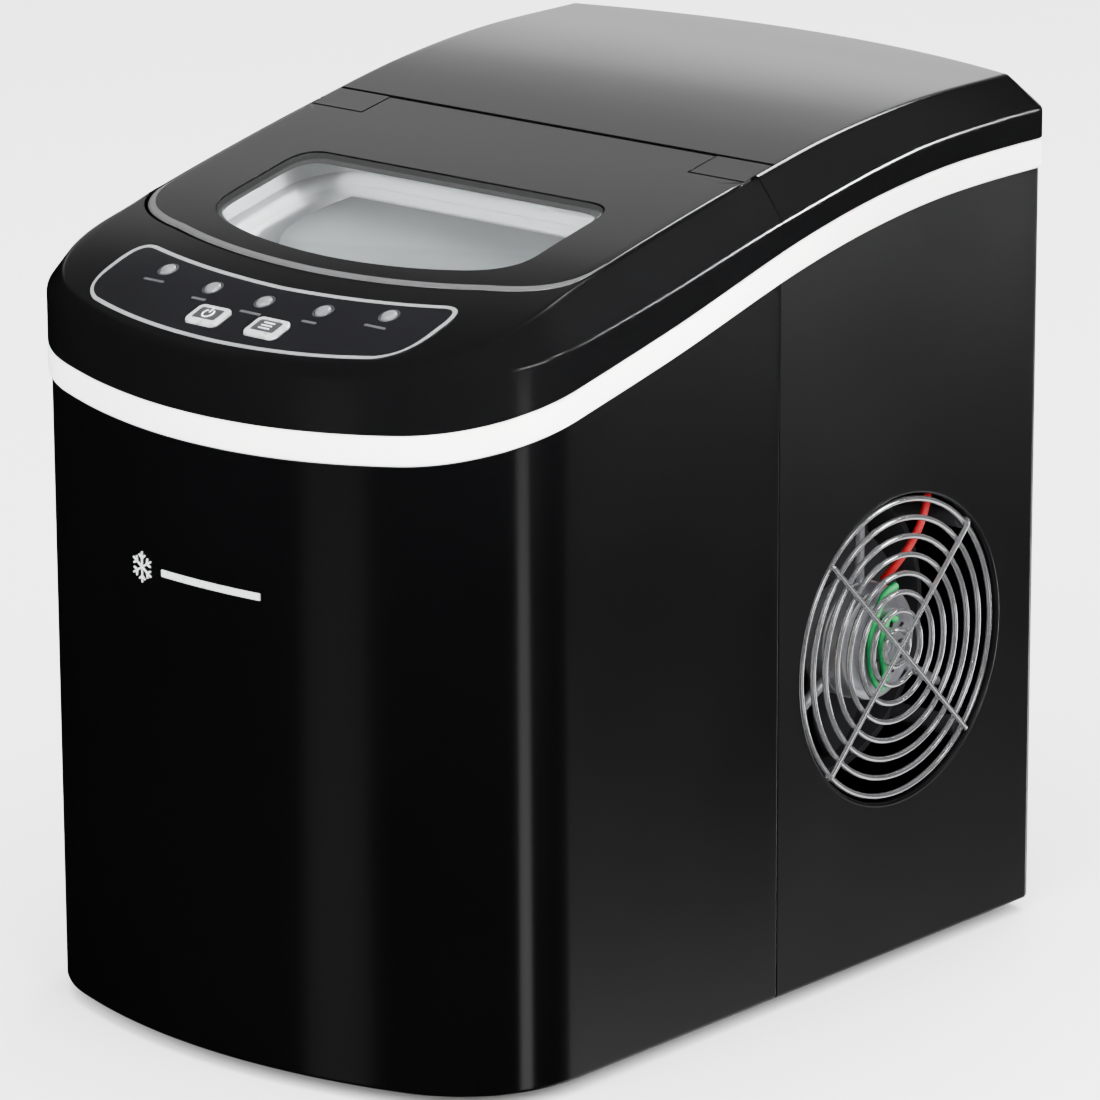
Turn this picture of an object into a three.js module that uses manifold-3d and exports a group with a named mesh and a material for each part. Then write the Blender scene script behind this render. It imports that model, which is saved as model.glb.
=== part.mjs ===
// Countertop ice maker: shells, sloping cover with a windowed lid, ice works, and cooling circuit.
// Millimetres, +Z up, front towards -Y. The origin is on the floor, under the middle of the machine.
import * as THREE from 'three';
import { mergeVertices } from 'three/addons/utils/BufferGeometryUtils.js';
import Module from 'manifold-3d';

const wasm = await Module();
wasm.setup();

// ---- driving dimensions --------------------------------------------------------------------

const GAP = 0.3;                      // air left between pieces that touch
const HALF_WIDTH = 118;               // body, middle to side panel
const FRONT_Y = -175.6;               // foremost point of the body
const FRONT_RADIUS = 246.3;           // bowed front panel
const FRONT_CORNER = 54.8;            // front corner, seen from above
const REAR_Y = 175.6;                 // rearmost point of the body
const REAR_RADIUS = 358;              // bowed rear panel
const REAR_CORNER = 5;
const PROUD = 1.3;                    // band and cover stand out from the body
const FOOT_HEIGHT = 5;
const SHEET = 1.2;                    // steel shells
const SKIN = 2.6;                     // moulded cover
const BAND_HEIGHT = 11.2;
const SEAM_Y = 1.5;                   // joint between the front and rear halves
const BEVEL = 12;                     // chamfer along the cover's sides and back
const NOSE_BEVEL = 3.5;               // the same chamfer at the front

const HINGE = { y: 3.5, z: 309.5 };   // axis of the lid, along X
const TONGUE_HALF = 80;               // the lid reaches the hinge between the rear cover's ears
const TONGUE_RADIUS = 10;             // rounded rear edge of the lid, about the hinge axis
const EAR_RADIUS = 9;                 // rounded front edge of the ears, about the hinge axis
const LID_HALF = 107;
const LID_THICK = 3;

const RIM = { y: -12, z: 290, slope: 0.24 };   // sloping rim of the tub
const TUB = { half: 97, front: -122, rear: -3, floor: 56, wall: 2.5, corner: 24 };

const FAN = { y: 73.3, z: 124, hole: 59.6, ring: 56.6, wire: 1.1, rings: 8, post: 58.2 };
// Slots in the left side.
const INLET = { rows: 12, z: 76, pitch: 9, height: 3.6, columns: [48, 98], length: 38 };
const CABLE = { x: -72, z: 38 };      // where the mains cable would leave the rear panel
const ICE_AXIS = { y: -35, z: 240 };  // the tray and the shovel turn about this line
const FINGER = { radius: 4.5, tip: 226, plate: 266, columns: 5, pitch: 26, row: 8 };
const TRAY = { half: 74, inner: 24, outer: 26, end: 2 };
const BASKET = { half: 86, front: -112, rear: -66, floor: 118, top: 250, wall: 2 };
const COMPRESSOR = { x: -48, y: 95, radius: 49, floor: 19.3, top: 148 };
const DRAIN = { x: 0, y: -90 };
const CONDENSER_FINS = 14;

// ---- solids --------------------------------------------------------------------------------

function toSolid(geometry) {
  const bare = geometry.clone();
  bare.deleteAttribute('normal');
  bare.deleteAttribute('uv');
  const merged = mergeVertices(bare, 1e-4);
  const vertProperties = new Float32Array(merged.attributes.position.array);
  const triVerts = new Uint32Array(merged.index.array);
  return new wasm.Manifold(new wasm.Mesh({ numProp: 3, vertProperties, triVerts }));
}

function toGeometry(solid) {
  const mesh = solid.getMesh();
  const geometry = new THREE.BufferGeometry();
  geometry.setAttribute('position', new THREE.BufferAttribute(new Float32Array(mesh.vertProperties), 3));
  geometry.setIndex(new THREE.BufferAttribute(new Uint32Array(mesh.triVerts), 1));
  geometry.computeVertexNormals();
  return geometry;
}

const join = (...solids) => solids.reduce((whole, next) => whole.add(next));
const cut = (solid, ...tools) => tools.reduce((rest, tool) => rest.subtract(tool), solid);

function block(x0, x1, y0, y1, z0, z1) {
  const geometry = new THREE.BoxGeometry(x1 - x0, y1 - y0, z1 - z0);
  return toSolid(geometry.translate((x0 + x1) / 2, (y0 + y1) / 2, (z0 + z1) / 2));
}

// A straight round bar between two points; sides are flats.
function rod(from, to, radius, sides = 16) {
  const start = new THREE.Vector3(...from);
  const end = new THREE.Vector3(...to);
  const along = end.clone().sub(start);
  const geometry = new THREE.CylinderGeometry(radius, radius, along.length(), sides);
  const turn = new THREE.Quaternion().setFromUnitVectors(new THREE.Vector3(0, 1, 0), along.normalize());
  geometry.applyQuaternion(turn);
  const middle = start.add(end).multiplyScalar(0.5);
  return toSolid(geometry.translate(middle.x, middle.y, middle.z));
}

// A turned piece: profile is [radius, height] pairs from the bottom of the axis to its top.
function turned(profile, x, y, z, sides = 28) {
  const points = profile.map(([radius, height]) => new THREE.Vector2(radius, height));
  const geometry = new THREE.LatheGeometry(points, sides);
  return toSolid(geometry.rotateX(Math.PI / 2).translate(x, y, z));
}

// A shape drawn in plan, from z0 up to z1.
function prism(shape, z0, z1, curveSegments = 4) {
  const options = { depth: z1 - z0, bevelEnabled: false, curveSegments };
  return toSolid(new THREE.ExtrudeGeometry(shape, options).translate(0, 0, z0));
}

// A side view, drawn as [y, z] points anticlockwise, from x0 to x1.
function sidePrism(points, x0, x1) {
  const shape = new THREE.Shape(points.map(([y, z]) => new THREE.Vector2(y, z)));
  const geometry = new THREE.ExtrudeGeometry(shape, { depth: x1 - x0, bevelEnabled: false });
  const axes = new THREE.Matrix4().set(0, 0, 1, x0, 1, 0, 0, 0, 0, 1, 0, 0, 0, 0, 0, 1);
  return toSolid(geometry.applyMatrix4(axes));
}

// A round tube or lead that follows a smooth line through the points.
function pipe(points, radius, steps = 28, sides = 8) {
  const path = new THREE.CatmullRomCurve3(points.map((p) => new THREE.Vector3(...p)), false, 'centripetal');
  const section = new THREE.Shape();
  for (let i = 0; i < sides; i += 1) {
    const angle = (2 * Math.PI * i) / sides;
    const move = i === 0 ? 'moveTo' : 'lineTo';
    section[move](radius * Math.cos(angle), radius * Math.sin(angle));
  }
  return toSolid(new THREE.ExtrudeGeometry(section, { steps, extrudePath: path, bevelEnabled: false }));
}

function roundedRect(x0, x1, y0, y1, radius) {
  const shape = new THREE.Shape();
  shape.moveTo(x0 + radius, y0);
  shape.lineTo(x1 - radius, y0);
  shape.absarc(x1 - radius, y0 + radius, radius, -Math.PI / 2, 0, false);
  shape.lineTo(x1, y1 - radius);
  shape.absarc(x1 - radius, y1 - radius, radius, 0, Math.PI / 2, false);
  shape.lineTo(x0 + radius, y1);
  shape.absarc(x0 + radius, y1 - radius, radius, Math.PI / 2, Math.PI, false);
  shape.lineTo(x0, y0 + radius);
  shape.absarc(x0 + radius, y0 + radius, radius, Math.PI, 1.5 * Math.PI, false);
  return shape;
}

// ---- the machine's outline and heights -----------------------------------------------------

// Smooth height over y through a few [y, z] points, with level or matched slopes at each.
function heightLine(points) {
  const slope = points.map((point, i) => {
    const before = points[Math.max(i - 1, 0)];
    const after = points[Math.min(i + 1, points.length - 1)];
    return (after[1] - before[1]) / (after[0] - before[0]);
  });
  return (y) => {
    const inside = Math.min(Math.max(y, points[0][0]), points[points.length - 1][0]);
    let i = 0;
    while (i < points.length - 2 && inside > points[i + 1][0]) i += 1;
    const span = points[i + 1][0] - points[i][0];
    const t = (inside - points[i][0]) / span;
    const rise = points[i + 1][1] - points[i][1];
    const bend = slope[i] * span * t * (1 - t) ** 2 - slope[i + 1] * span * t ** 2 * (1 - t);
    return points[i][1] + rise * t * t * (3 - 2 * t) + bend;
  };
}

const bandLow = heightLine([[-177, 232.5], [-120, 246.3], [-57, 261.3], [10, 279.4], [56, 288.4],
  [104, 293.2], [177, 294]]);
const wallTop = heightLine([[-177, 265.5], [-124, 273], [-69, 283.3], [3.5, 299.9], [75, 313],
  [127, 316.3], [177, 316.5]]);
const crown = heightLine([[-178, 265.5], [-130, 282.5], [-87, 295], [-44, 305.3], [0, 314.6],
  [45, 323], [92, 328], [140, 329], [180, 329]]);
const rimHeight = (y) => RIM.z + RIM.slope * (y - RIM.y);
const bandTop = (y) => bandLow(y) + BAND_HEIGHT;

function bevelWidth(y) {
  const t = THREE.MathUtils.smoothstep(y, FRONT_Y, FRONT_Y + 76);
  return NOSE_BEVEL + (BEVEL - NOSE_BEVEL) * t;
}

// Points along the right-hand half of the outline, front to rear, moved out by grow.
function halfOutline(grow) {
  const points = [];
  const arc = (cx, cy, radius, from, to, steps, first = 1) => {
    for (let i = first; i <= steps; i += 1) {
      const angle = from + ((to - from) * i) / steps;
      points.push([cx + radius * Math.cos(angle), cy + radius * Math.sin(angle)]);
    }
  };
  const frontCentre = FRONT_Y + FRONT_RADIUS;
  const cornerX = HALF_WIDTH - FRONT_CORNER;
  const cornerY = frontCentre - Math.sqrt((FRONT_RADIUS - FRONT_CORNER) ** 2 - cornerX ** 2);
  const frontTurn = Math.atan2(cornerY - frontCentre, cornerX);
  arc(0, frontCentre, FRONT_RADIUS + grow, -Math.PI / 2, frontTurn, 6, 0);
  arc(cornerX, cornerY, FRONT_CORNER + grow, frontTurn, 0, 7);
  const rearCentre = REAR_Y - REAR_RADIUS;
  const small = Math.max(REAR_CORNER + grow, 0.6);
  const rearX = HALF_WIDTH + grow - small;
  const rearY = rearCentre + Math.sqrt((REAR_RADIUS + grow - small) ** 2 - rearX ** 2);
  const sideSteps = 10;
  for (let i = 1; i <= sideSteps; i += 1) {
    points.push([HALF_WIDTH + grow, cornerY + ((rearY - cornerY) * i) / sideSteps]);
  }
  const rearTurn = Math.atan2(rearY - rearCentre, rearX);
  arc(rearX, rearY, small, 0, rearTurn, 3);
  arc(0, rearCentre, REAR_RADIUS + grow, rearTurn, Math.PI / 2, 5);
  points[points.length - 1][0] = 0;
  points[0][0] = 0;
  return points;
}

// One level of the outline: grow and height are numbers or functions of y.
function level(grow, height) {
  const heightAt = typeof height === 'function' ? height : () => height;
  const plain = halfOutline(0);
  const right = typeof grow === 'function'
    ? plain.map(([, y], i) => halfOutline(grow(y))[i])
    : halfOutline(grow);
  const left = right.slice(1, -1).reverse().map(([x, y]) => [-x, y]);
  return [...right, ...left].map(([x, y]) => new THREE.Vector3(x, y, heightAt(y)));
}

// A solid between levels of the outline, closed by surfaces that are straight across the machine.
function stack(...levels) {
  const count = levels[0].length;
  const half = count / 2;
  const corners = [];
  const quad = (a, b, c, d) => corners.push(a, b, c, a, c, d);
  for (let k = 0; k + 1 < levels.length; k += 1) {
    for (let i = 0; i < count; i += 1) {
      const next = (i + 1) % count;
      quad(levels[k][i], levels[k][next], levels[k + 1][next], levels[k + 1][i]);
    }
  }
  const cap = (ring, up) => {
    for (let i = 0; i < half; i += 1) {
      const mirrorA = ring[(count - i) % count];
      const mirrorB = ring[count - i - 1];
      const face = [ring[i], ring[i + 1], mirrorB, mirrorA];
      if (!up) face.reverse();
      const kept = face.filter((point, n) => point !== face[(n + 3) % 4]);
      if (kept.length === 3) corners.push(...kept);
      else quad(...kept);
    }
  };
  cap(levels[0], false);
  cap(levels[levels.length - 1], true);
  const geometry = new THREE.BufferGeometry().setFromPoints(corners);
  return toSolid(geometry);
}

// A wall that follows the outline, between two offsets and two heights.
function wallRing(outer, inner, low, high) {
  const lowAt = typeof low === 'function' ? low : () => low;
  const highAt = typeof high === 'function' ? high : () => high;
  const hole = stack(level(inner, (y) => lowAt(y) - 1), level(inner, (y) => highAt(y) + 1));
  return cut(stack(level(outer, lowAt), level(outer, highAt)), hole);
}

const FAR = 400;
const ahead = (y) => block(-FAR, FAR, -FAR, y, -FAR, FAR);
const behind = (y) => block(-FAR, FAR, y, FAR, -FAR, FAR);

// The slab of material between two depths under the cover's top surface.
function crownSlab(top, bottom) {
  const lift = (by) => (y) => crown(y) - by;
  return stack(level(PROUD - 2, lift(bottom)), level(PROUD - 2, lift(top)));
}

// ---- materials and nodes -------------------------------------------------------------------

const finish = (color, roughness, metalness) => ({ color, roughness, metalness });
const GLOSS_BLACK = finish(0x0a0a0b, 0.12, 0);
const SATIN_BLACK = finish(0x141415, 0.38, 0.2);
const MATT_BLACK = finish(0x18181a, 0.6, 0);
const WHITE = finish(0xf2f2f0, 0.35, 0);
const PALE_GREY = finish(0xb9bbbd, 0.5, 0);
const CLEAR = finish(0xdfe6ea, 0.05, 0);
const CHROME = finish(0xd6d8da, 0.12, 1);
const STEEL = finish(0xa9abad, 0.4, 0.9);
const ALUMINIUM = finish(0xc4c6c8, 0.35, 0.9);
const COPPER = finish(0xb5683f, 0.3, 1);
const RUBBER = finish(0x1b1b1c, 0.85, 0);
const FOAM = finish(0xe3dcc0, 0.9, 0);
const BOARD = finish(0x1d5b36, 0.55, 0);
const LAMP = finish(0x9b9d9f, 0.3, 0);
const SILVER = finish(0xc9cacb, 0.35, 0.4);
const RED = finish(0xb3181c, 0.45, 0);
const GREEN = finish(0x1d8a45, 0.45, 0);

const machine = new THREE.Group();

function add(name, solid, look) {
  const mesh = new THREE.Mesh(toGeometry(solid), new THREE.MeshStandardMaterial(look));
  mesh.name = name;
  machine.add(mesh);
}

// ---- body ----------------------------------------------------------------------------------

function bodyShells() {
  const wall = wallRing(0, -SHEET, FOOT_HEIGHT, (y) => bandLow(y) - GAP);
  const fanHole = rod([HALF_WIDTH - 10, FAN.y, FAN.z], [HALF_WIDTH + 10, FAN.y, FAN.z], FAN.hole, 36);
  const louvres = [];
  for (let row = 0; row < INLET.rows; row += 1) {
    for (const y of INLET.columns) {
      const z = INLET.z + row * INLET.pitch;
      louvres.push(block(-HALF_WIDTH - 5, -HALF_WIDTH + 5, y, y + INLET.length, z, z + INLET.height));
    }
  }
  const screwHoles = rearScrewPlaces().map(({ from, to }) => rod(to, from, 2.2, 12));
  const cableHole = rod([CABLE.x, 150, CABLE.z], [CABLE.x, 190, CABLE.z], 6.4, 20);
  add('front_shell', wall.intersect(ahead(SEAM_Y - GAP)), GLOSS_BLACK);
  add('rear_shell', cut(wall.intersect(behind(SEAM_Y + GAP)), fanHole, ...louvres, ...screwHoles, cableHole),
    SATIN_BLACK);
}

function baseTray() {
  const grow = -SHEET - GAP;
  const floorTop = FOOT_HEIGHT + 2.5;
  const plate = stack(level(grow, FOOT_HEIGHT), level(grow, floorTop));
  const rim = wallRing(grow, grow - 2.4, FOOT_HEIGHT, 19);
  const drainHole = rod([DRAIN.x, DRAIN.y, 0], [DRAIN.x, DRAIN.y, 12], 9.4, 24);
  const ribs = [-60, 0, 60].map((x) => block(x + 12, x + 14, -60, 20, floorTop - 1, floorTop + 4));
  const screwHoles = rearScrewPlaces().filter(({ z }) => z < 100).map(({ from, to }) => rod(to, from, 1.9, 12));
  add('base_tray', cut(join(plate, rim, ...ribs), drainHole, ...screwHoles), MATT_BLACK);
}

function feet() {
  const places = {
    front_right: [84, -118], front_left: [-84, -118], rear_right: [92, 140], rear_left: [-92, 140],
  };
  const profile = [[0, 0], [12.6, 0], [14, 1.6], [14, FOOT_HEIGHT - GAP], [0, FOOT_HEIGHT - GAP]];
  for (const [name, [x, y]] of Object.entries(places)) {
    add(`foot_${name}`, turned(profile, x, y, 0, 16), RUBBER);
  }
}

// The rear shell's fasteners: a point inside the machine and one outside, square to the rear panel.
function rearScrewPlaces() {
  const places = [];
  for (const z of [13, 262]) {
    for (const x of [-96, 96]) {
      const lean = Math.asin(x / REAR_RADIUS);
      const centre = REAR_Y - REAR_RADIUS;
      const along = (radius) => [radius * Math.sin(lean), centre + radius * Math.cos(lean), z];
      places.push({ z, from: along(REAR_RADIUS - 8), to: along(REAR_RADIUS + 4), head: along });
    }
  }
  return places;
}

function rearScrews() {
  rearScrewPlaces().forEach(({ head }, i) => {
    const shank = rod(head(REAR_RADIUS - 6), head(REAR_RADIUS + 0.6), 1.6, 8);
    const cap = rod(head(REAR_RADIUS + GAP), head(REAR_RADIUS + PROUD), 3.6, 14);
    add(`rear_screw_${i + 1}`, join(shank, cap), STEEL);
  });
}

function trimBand() {
  add('trim_band', wallRing(PROUD, -5, bandLow, bandTop), WHITE);
}

function fanGuard() {
  const face = HALF_WIDTH + 0.1;
  const rings = [];
  for (let i = 0; i < FAN.rings; i += 1) {
    const radius = FAN.ring * (1 - i / FAN.rings);
    const geometry = new THREE.TorusGeometry(radius, FAN.wire, 4, i < 4 ? 20 : 12);
    rings.push(toSolid(geometry.rotateY(Math.PI / 2).translate(face - 1.9, FAN.y, FAN.z)));
  }
  const spokes = [];
  const reach = FAN.post * Math.SQRT1_2;
  for (const [a, b] of [[1, 1], [1, -1]]) {
    const ends = [-1, 1].map((side) => [face, FAN.y + side * a * reach, FAN.z + side * b * reach]);
    spokes.push(rod(ends[0], ends[1], FAN.wire, 5));
    for (const [x, y, z] of ends) spokes.push(rod([x + 1, y, z], [x - 8.5, y, z], FAN.wire, 5));
  }
  add('fan_guard', join(...rings, ...spokes), CHROME);
}

// ---- cover ---------------------------------------------------------------------------------

// The lid's plan, grown or shrunk by grow: a bowed front with round corners. It runs on behind the hinge.
function lidShape(grow) {
  const half = LID_HALF + grow;
  const rear = HINGE.y + 30;
  const shape = new THREE.Shape();
  shape.moveTo(half, rear);
  shape.lineTo(half, -84);
  shape.bezierCurveTo(half, -98, half - 10, -106 - grow, half - 32, -110 - grow);
  shape.quadraticCurveTo(42, -119.6 - grow, 0, -120 - grow);
  shape.quadraticCurveTo(-42, -119.6 - grow, -half + 32, -110 - grow);
  shape.bezierCurveTo(-half + 10, -106 - grow, -half, -98, -half, -84);
  shape.lineTo(-half, rear);
  return shape;
}

function windowShape(grow) {
  const half = 76 + grow;
  const rear = -39.6 + grow;
  const shape = new THREE.Shape();
  shape.moveTo(half - 10, rear);
  shape.lineTo(-half + 10, rear);
  shape.quadraticCurveTo(-half, rear, -half, rear - 10);
  shape.lineTo(-half, -82);
  shape.bezierCurveTo(-half, -92, -half + 8, -97 - grow, -60, -100 - grow);
  shape.quadraticCurveTo(-34, -108.6 - grow, 0, -109 - grow);
  shape.quadraticCurveTo(34, -108.6 - grow, 60, -100 - grow);
  shape.bezierCurveTo(half - 8, -97 - grow, half, -92, half, -82);
  shape.lineTo(half, rear - 10);
  shape.quadraticCurveTo(half, rear, half - 10, rear);
  return shape;
}

function panelShape(grow) {
  const shape = new THREE.Shape();
  shape.moveTo(0, -132 + grow);
  shape.quadraticCurveTo(-40, -131 + grow, -70, -124 + grow);
  shape.bezierCurveTo(-78 - grow, -122.5 + grow, -80 - grow, -128, -79.5 - grow, -138);
  shape.bezierCurveTo(-79.5 - grow, -148, -77, -156 - grow, -68, -160.5 - grow);
  shape.quadraticCurveTo(-38, -169.2 - grow, 0, -169.5 - grow);
  shape.quadraticCurveTo(38, -169.2 - grow, 68, -160.5 - grow);
  shape.bezierCurveTo(77, -156 - grow, 79.5 + grow, -148, 79.5 + grow, -138);
  shape.bezierCurveTo(80 + grow, -128, 78 + grow, -122.5 + grow, 70, -124 + grow);
  shape.quadraticCurveTo(40, -131 + grow, 0, -132 + grow);
  return shape;
}

const LAMPS = [-54, -27, 0, 27, 54].map((x) => [x, -142.5 + 6.5 * (x / 54) ** 2]);
const BUTTONS = { power_button: -14.3, select_button: 14.3 };
const BUTTON = { y: -156.5, half: 7.75, depth: 5.25, radius: 2.5, proud: 1.1 };
const LAMP_SIZE = { radius: 3, hole: 3.4 };
const PANEL = { thick: 0.6, recess: 0.95, sunk: 0.05 };

const buttonShape = (x, grow) => roundedRect(x - BUTTON.half - grow, x + BUTTON.half + grow,
  BUTTON.y - BUTTON.depth - grow, BUTTON.y + BUTTON.depth + grow, BUTTON.radius);

function coverBlock() {
  const outer = stack(
    level(PROUD, (y) => bandTop(y) + GAP),
    level(PROUD, wallTop),
    level((y) => PROUD - bevelWidth(y), crown),
  );
  const inner = stack(
    level(PROUD - SKIN, (y) => bandTop(y) - 2),
    level(PROUD - SKIN, (y) => wallTop(y) - 1.4),
    level((y) => PROUD - SKIN - bevelWidth(y), (y) => crown(y) - SKIN),
  );
  return cut(outer, inner);
}

const hingeRod = (radius, half, sides = 30) => rod([-half, HINGE.y, HINGE.z], [half, HINGE.y, HINGE.z],
  radius, sides);

// Everything over the ears on both sides of the lid's tongue.
function earZones(from) {
  return join(block(from, LID_HALF - 0.8, -30, HINGE.y, FAR / 2, FAR),
    block(-LID_HALF + 0.8, -from, -30, HINGE.y, FAR / 2, FAR));
}

function rearCover() {
  const cover = coverBlock();
  const back = cover.intersect(behind(SEAM_Y + GAP));
  const room = TONGUE_HALF + 0.5;
  const ears = cover.intersect(earZones(room)).intersect(hingeRod(EAR_RADIUS, FAR));
  const tongueRoom = hingeRod(TONGUE_RADIUS + 0.9, room);
  const tongueFront = block(-room, room, -FAR, HINGE.y, 0, FAR);
  const bosses = [-1, 1].map((side) => join(
    rod([side * (TONGUE_HALF + 1), HINGE.y, HINGE.z], [side * 92, HINGE.y, HINGE.z], 4.4, 20),
    block(Math.min(side * 81, side * 92), Math.max(side * 81, side * 92), HINGE.y - 1, HINGE.y + 12,
      HINGE.z - 1, HINGE.z + 4.4),
  ));
  const holes = [-1, 1].map((side) => rod([side * 70, HINGE.y, HINGE.z], [side * 90, HINGE.y, HINGE.z],
    2.3, 16));
  const shell = cut(join(back, ears), tongueRoom, tongueFront);
  add('rear_cover', cut(join(shell, ...bosses), ...holes), GLOSS_BLACK);
}

function frontFrame() {
  const front = coverBlock().intersect(ahead(SEAM_Y - GAP));
  const opening = prism(lidShape(0.8), 200, FAR);
  const recess = crownSlab(-5, PANEL.recess).intersect(prism(panelShape(0.4), 200, FAR));
  const lampHoles = LAMPS.map(([x, y]) => rod([x, y, 200], [x, y, FAR], LAMP_SIZE.hole, 12));
  const buttonHoles = Object.values(BUTTONS).map((x) => prism(buttonShape(x, 0.5), 200, FAR, 2));
  add('front_frame', cut(front, opening, recess, ...lampHoles, ...buttonHoles), GLOSS_BLACK);
}

function lid() {
  const slab = crownSlab(0, LID_THICK);
  const outline = prism(lidShape(0), 200, FAR);
  const behindTongue = cut(block(-FAR, FAR, HINGE.y, FAR, 0, FAR), hingeRod(TONGUE_RADIUS, FAR));
  const earRoom = join(hingeRod(EAR_RADIUS + 0.7, FAR).intersect(earRoomZones()), earRoomRear());
  const opening = prism(windowShape(0), 200, FAR);
  const ledge = crownSlab(1.8, LID_THICK + 0.5)
    .intersect(cut(prism(windowShape(2), 200, FAR), prism(windowShape(-2.5), 200, FAR)));
  const rib = crownSlab(LID_THICK - 0.5, LID_THICK + 4)
    .intersect(cut(prism(windowShape(5), 200, FAR), prism(windowShape(3), 200, FAR)));
  const knuckles = [-1, 1].map((side) => join(
    rod([side * 58, HINGE.y, HINGE.z], [side * (TONGUE_HALF - 0.8), HINGE.y, HINGE.z], 4.4, 20),
    block(Math.min(side * 58, side * 79.2), Math.max(side * 58, side * 79.2), HINGE.y - 8, HINGE.y,
      HINGE.z + 0.5, HINGE.z + 4.2),
  ));
  const holes = [-1, 1].map((side) => rod([side * 66, HINGE.y, HINGE.z], [side * 90, HINGE.y, HINGE.z],
    2.3, 16));
  const plate = cut(slab.intersect(outline), behindTongue, earRoom, opening);
  add('lid_frame', cut(join(plate, ledge, rib, ...knuckles), ...holes), GLOSS_BLACK);
  const pane = crownSlab(0.4, 1.5).intersect(prism(windowShape(-GAP), 200, FAR));
  add('lid_window', pane, CLEAR);
}

const earRoomZones = () => join(block(TONGUE_HALF - 0.5, FAR, -60, FAR, 0, FAR),
  block(-FAR, -TONGUE_HALF + 0.5, -60, FAR, 0, FAR));
const earRoomRear = () => join(block(TONGUE_HALF - 0.5, FAR, HINGE.y - 5, FAR, 0, FAR),
  block(-FAR, -TONGUE_HALF + 0.5, HINGE.y - 5, FAR, 0, FAR));

function hingePins() {
  for (const [name, side] of [['left', -1], ['right', 1]]) {
    const pin = rod([side * 68, HINGE.y, HINGE.z], [side * 89, HINGE.y, HINGE.z], 1.95, 16);
    add(`hinge_pin_${name}`, pin, STEEL);
  }
}

function controlPanel() {
  const sheet = crownSlab(PANEL.sunk, PANEL.thick + PANEL.sunk).intersect(prism(panelShape(0), 200, FAR));
  const lampHoles = LAMPS.map(([x, y]) => rod([x, y, 200], [x, y, FAR], LAMP_SIZE.hole, 12));
  const buttonHoles = Object.values(BUTTONS).map((x) => prism(buttonShape(x, 0.5), 200, FAR, 2));
  add('panel_overlay', cut(sheet, ...lampHoles, ...buttonHoles), GLOSS_BLACK);
  LAMPS.forEach(([x, y], i) => {
    const lens = crownSlab(0, 4.5).intersect(rod([x, y, 200], [x, y, FAR], LAMP_SIZE.radius, 12));
    add(`indicator_lamp_${i + 1}`, lens, LAMP);
  });
  for (const [name, x] of Object.entries(BUTTONS)) {
    add(name, crownSlab(-BUTTON.proud, 3.6).intersect(prism(buttonShape(x, 0), 200, FAR, 3)), SILVER);
  }
}

// ---- tub and basket ------------------------------------------------------------------------

const tubPlan = (grow) => roundedRect(-TUB.half - grow, TUB.half + grow, TUB.front - grow, TUB.rear + grow,
  Math.max(TUB.corner + grow, 1));

// Everything above the sloping rim, moved up or down by lift.
function aboveRim(lift) {
  const near = -200;
  const far = 60;
  return sidePrism([[near, rimHeight(near) + lift], [far, rimHeight(far) + lift], [far, FAR], [near, FAR]],
    -FAR, FAR);
}

function tub() {
  const body = prism(tubPlan(0), TUB.floor, FAR);
  const flange = cut(prism(tubPlan(5), 200, FAR).subtract(invert(aboveRim(-3))), prism(tubPlan(-1), 190, FAR));
  const lip = cut(prism(tubPlan(-1), 200, FAR).subtract(invert(aboveRim(-5))), prism(tubPlan(-5.5), 190, FAR));
  const hollow = prism(tubPlan(-TUB.wall), TUB.floor + TUB.wall, FAR);
  const ledges = [-1, 1].map((side) => block(Math.min(side * 82, side * 95.5), Math.max(side * 82, side * 95.5),
    BASKET.front + 22, BASKET.rear - 6, BASKET.floor - 6, BASKET.floor - GAP));
  const drain = rod([DRAIN.x, DRAIN.y, 40], [DRAIN.x, DRAIN.y, 70], 4, 20);
  const shaftHole = rod([-60, ICE_AXIS.y, ICE_AXIS.z], [-110, ICE_AXIS.y, ICE_AXIS.z], 4, 20);
  const fillHole = rod([84, -20, 250], [84, 10, 250], 4.2, 16);
  const tubWall = cut(body, hollow);
  add('tub', cut(join(tubWall, lip, flange, ...ledges), aboveRim(0), drain, shaftHole, fillHole), PALE_GREY);
}

// The room that a solid leaves in a big block.
const invert = (solid) => block(-FAR, FAR, -FAR, FAR, -FAR, 2 * FAR).subtract(solid);

function tubCollar() {
  const underLid = stack(level(20, 150), level(20, (y) => crown(y) - LID_THICK - 1.4));
  const plan = (grow) => roundedRect(-98 - grow, 98 + grow, -117 - grow, -6 + grow, 26 + grow);
  const ring = cut(prism(plan(2.2), 200, FAR), prism(plan(0), 190, FAR));
  add('tub_collar', ring.intersect(underLid).intersect(aboveRim(GAP)), PALE_GREY);
}

function insulation() {
  const jacket = stack(level(-5, 46), level(-5, 214)).intersect(ahead(-0.4));
  const room = prism(tubPlan(0.4), TUB.floor - 0.4, FAR);
  const drain = rod([DRAIN.x, DRAIN.y, 40], [DRAIN.x, DRAIN.y, 70], 9.2, 20);
  add('insulation', cut(jacket, room, drain), FOAM);
}

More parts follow.
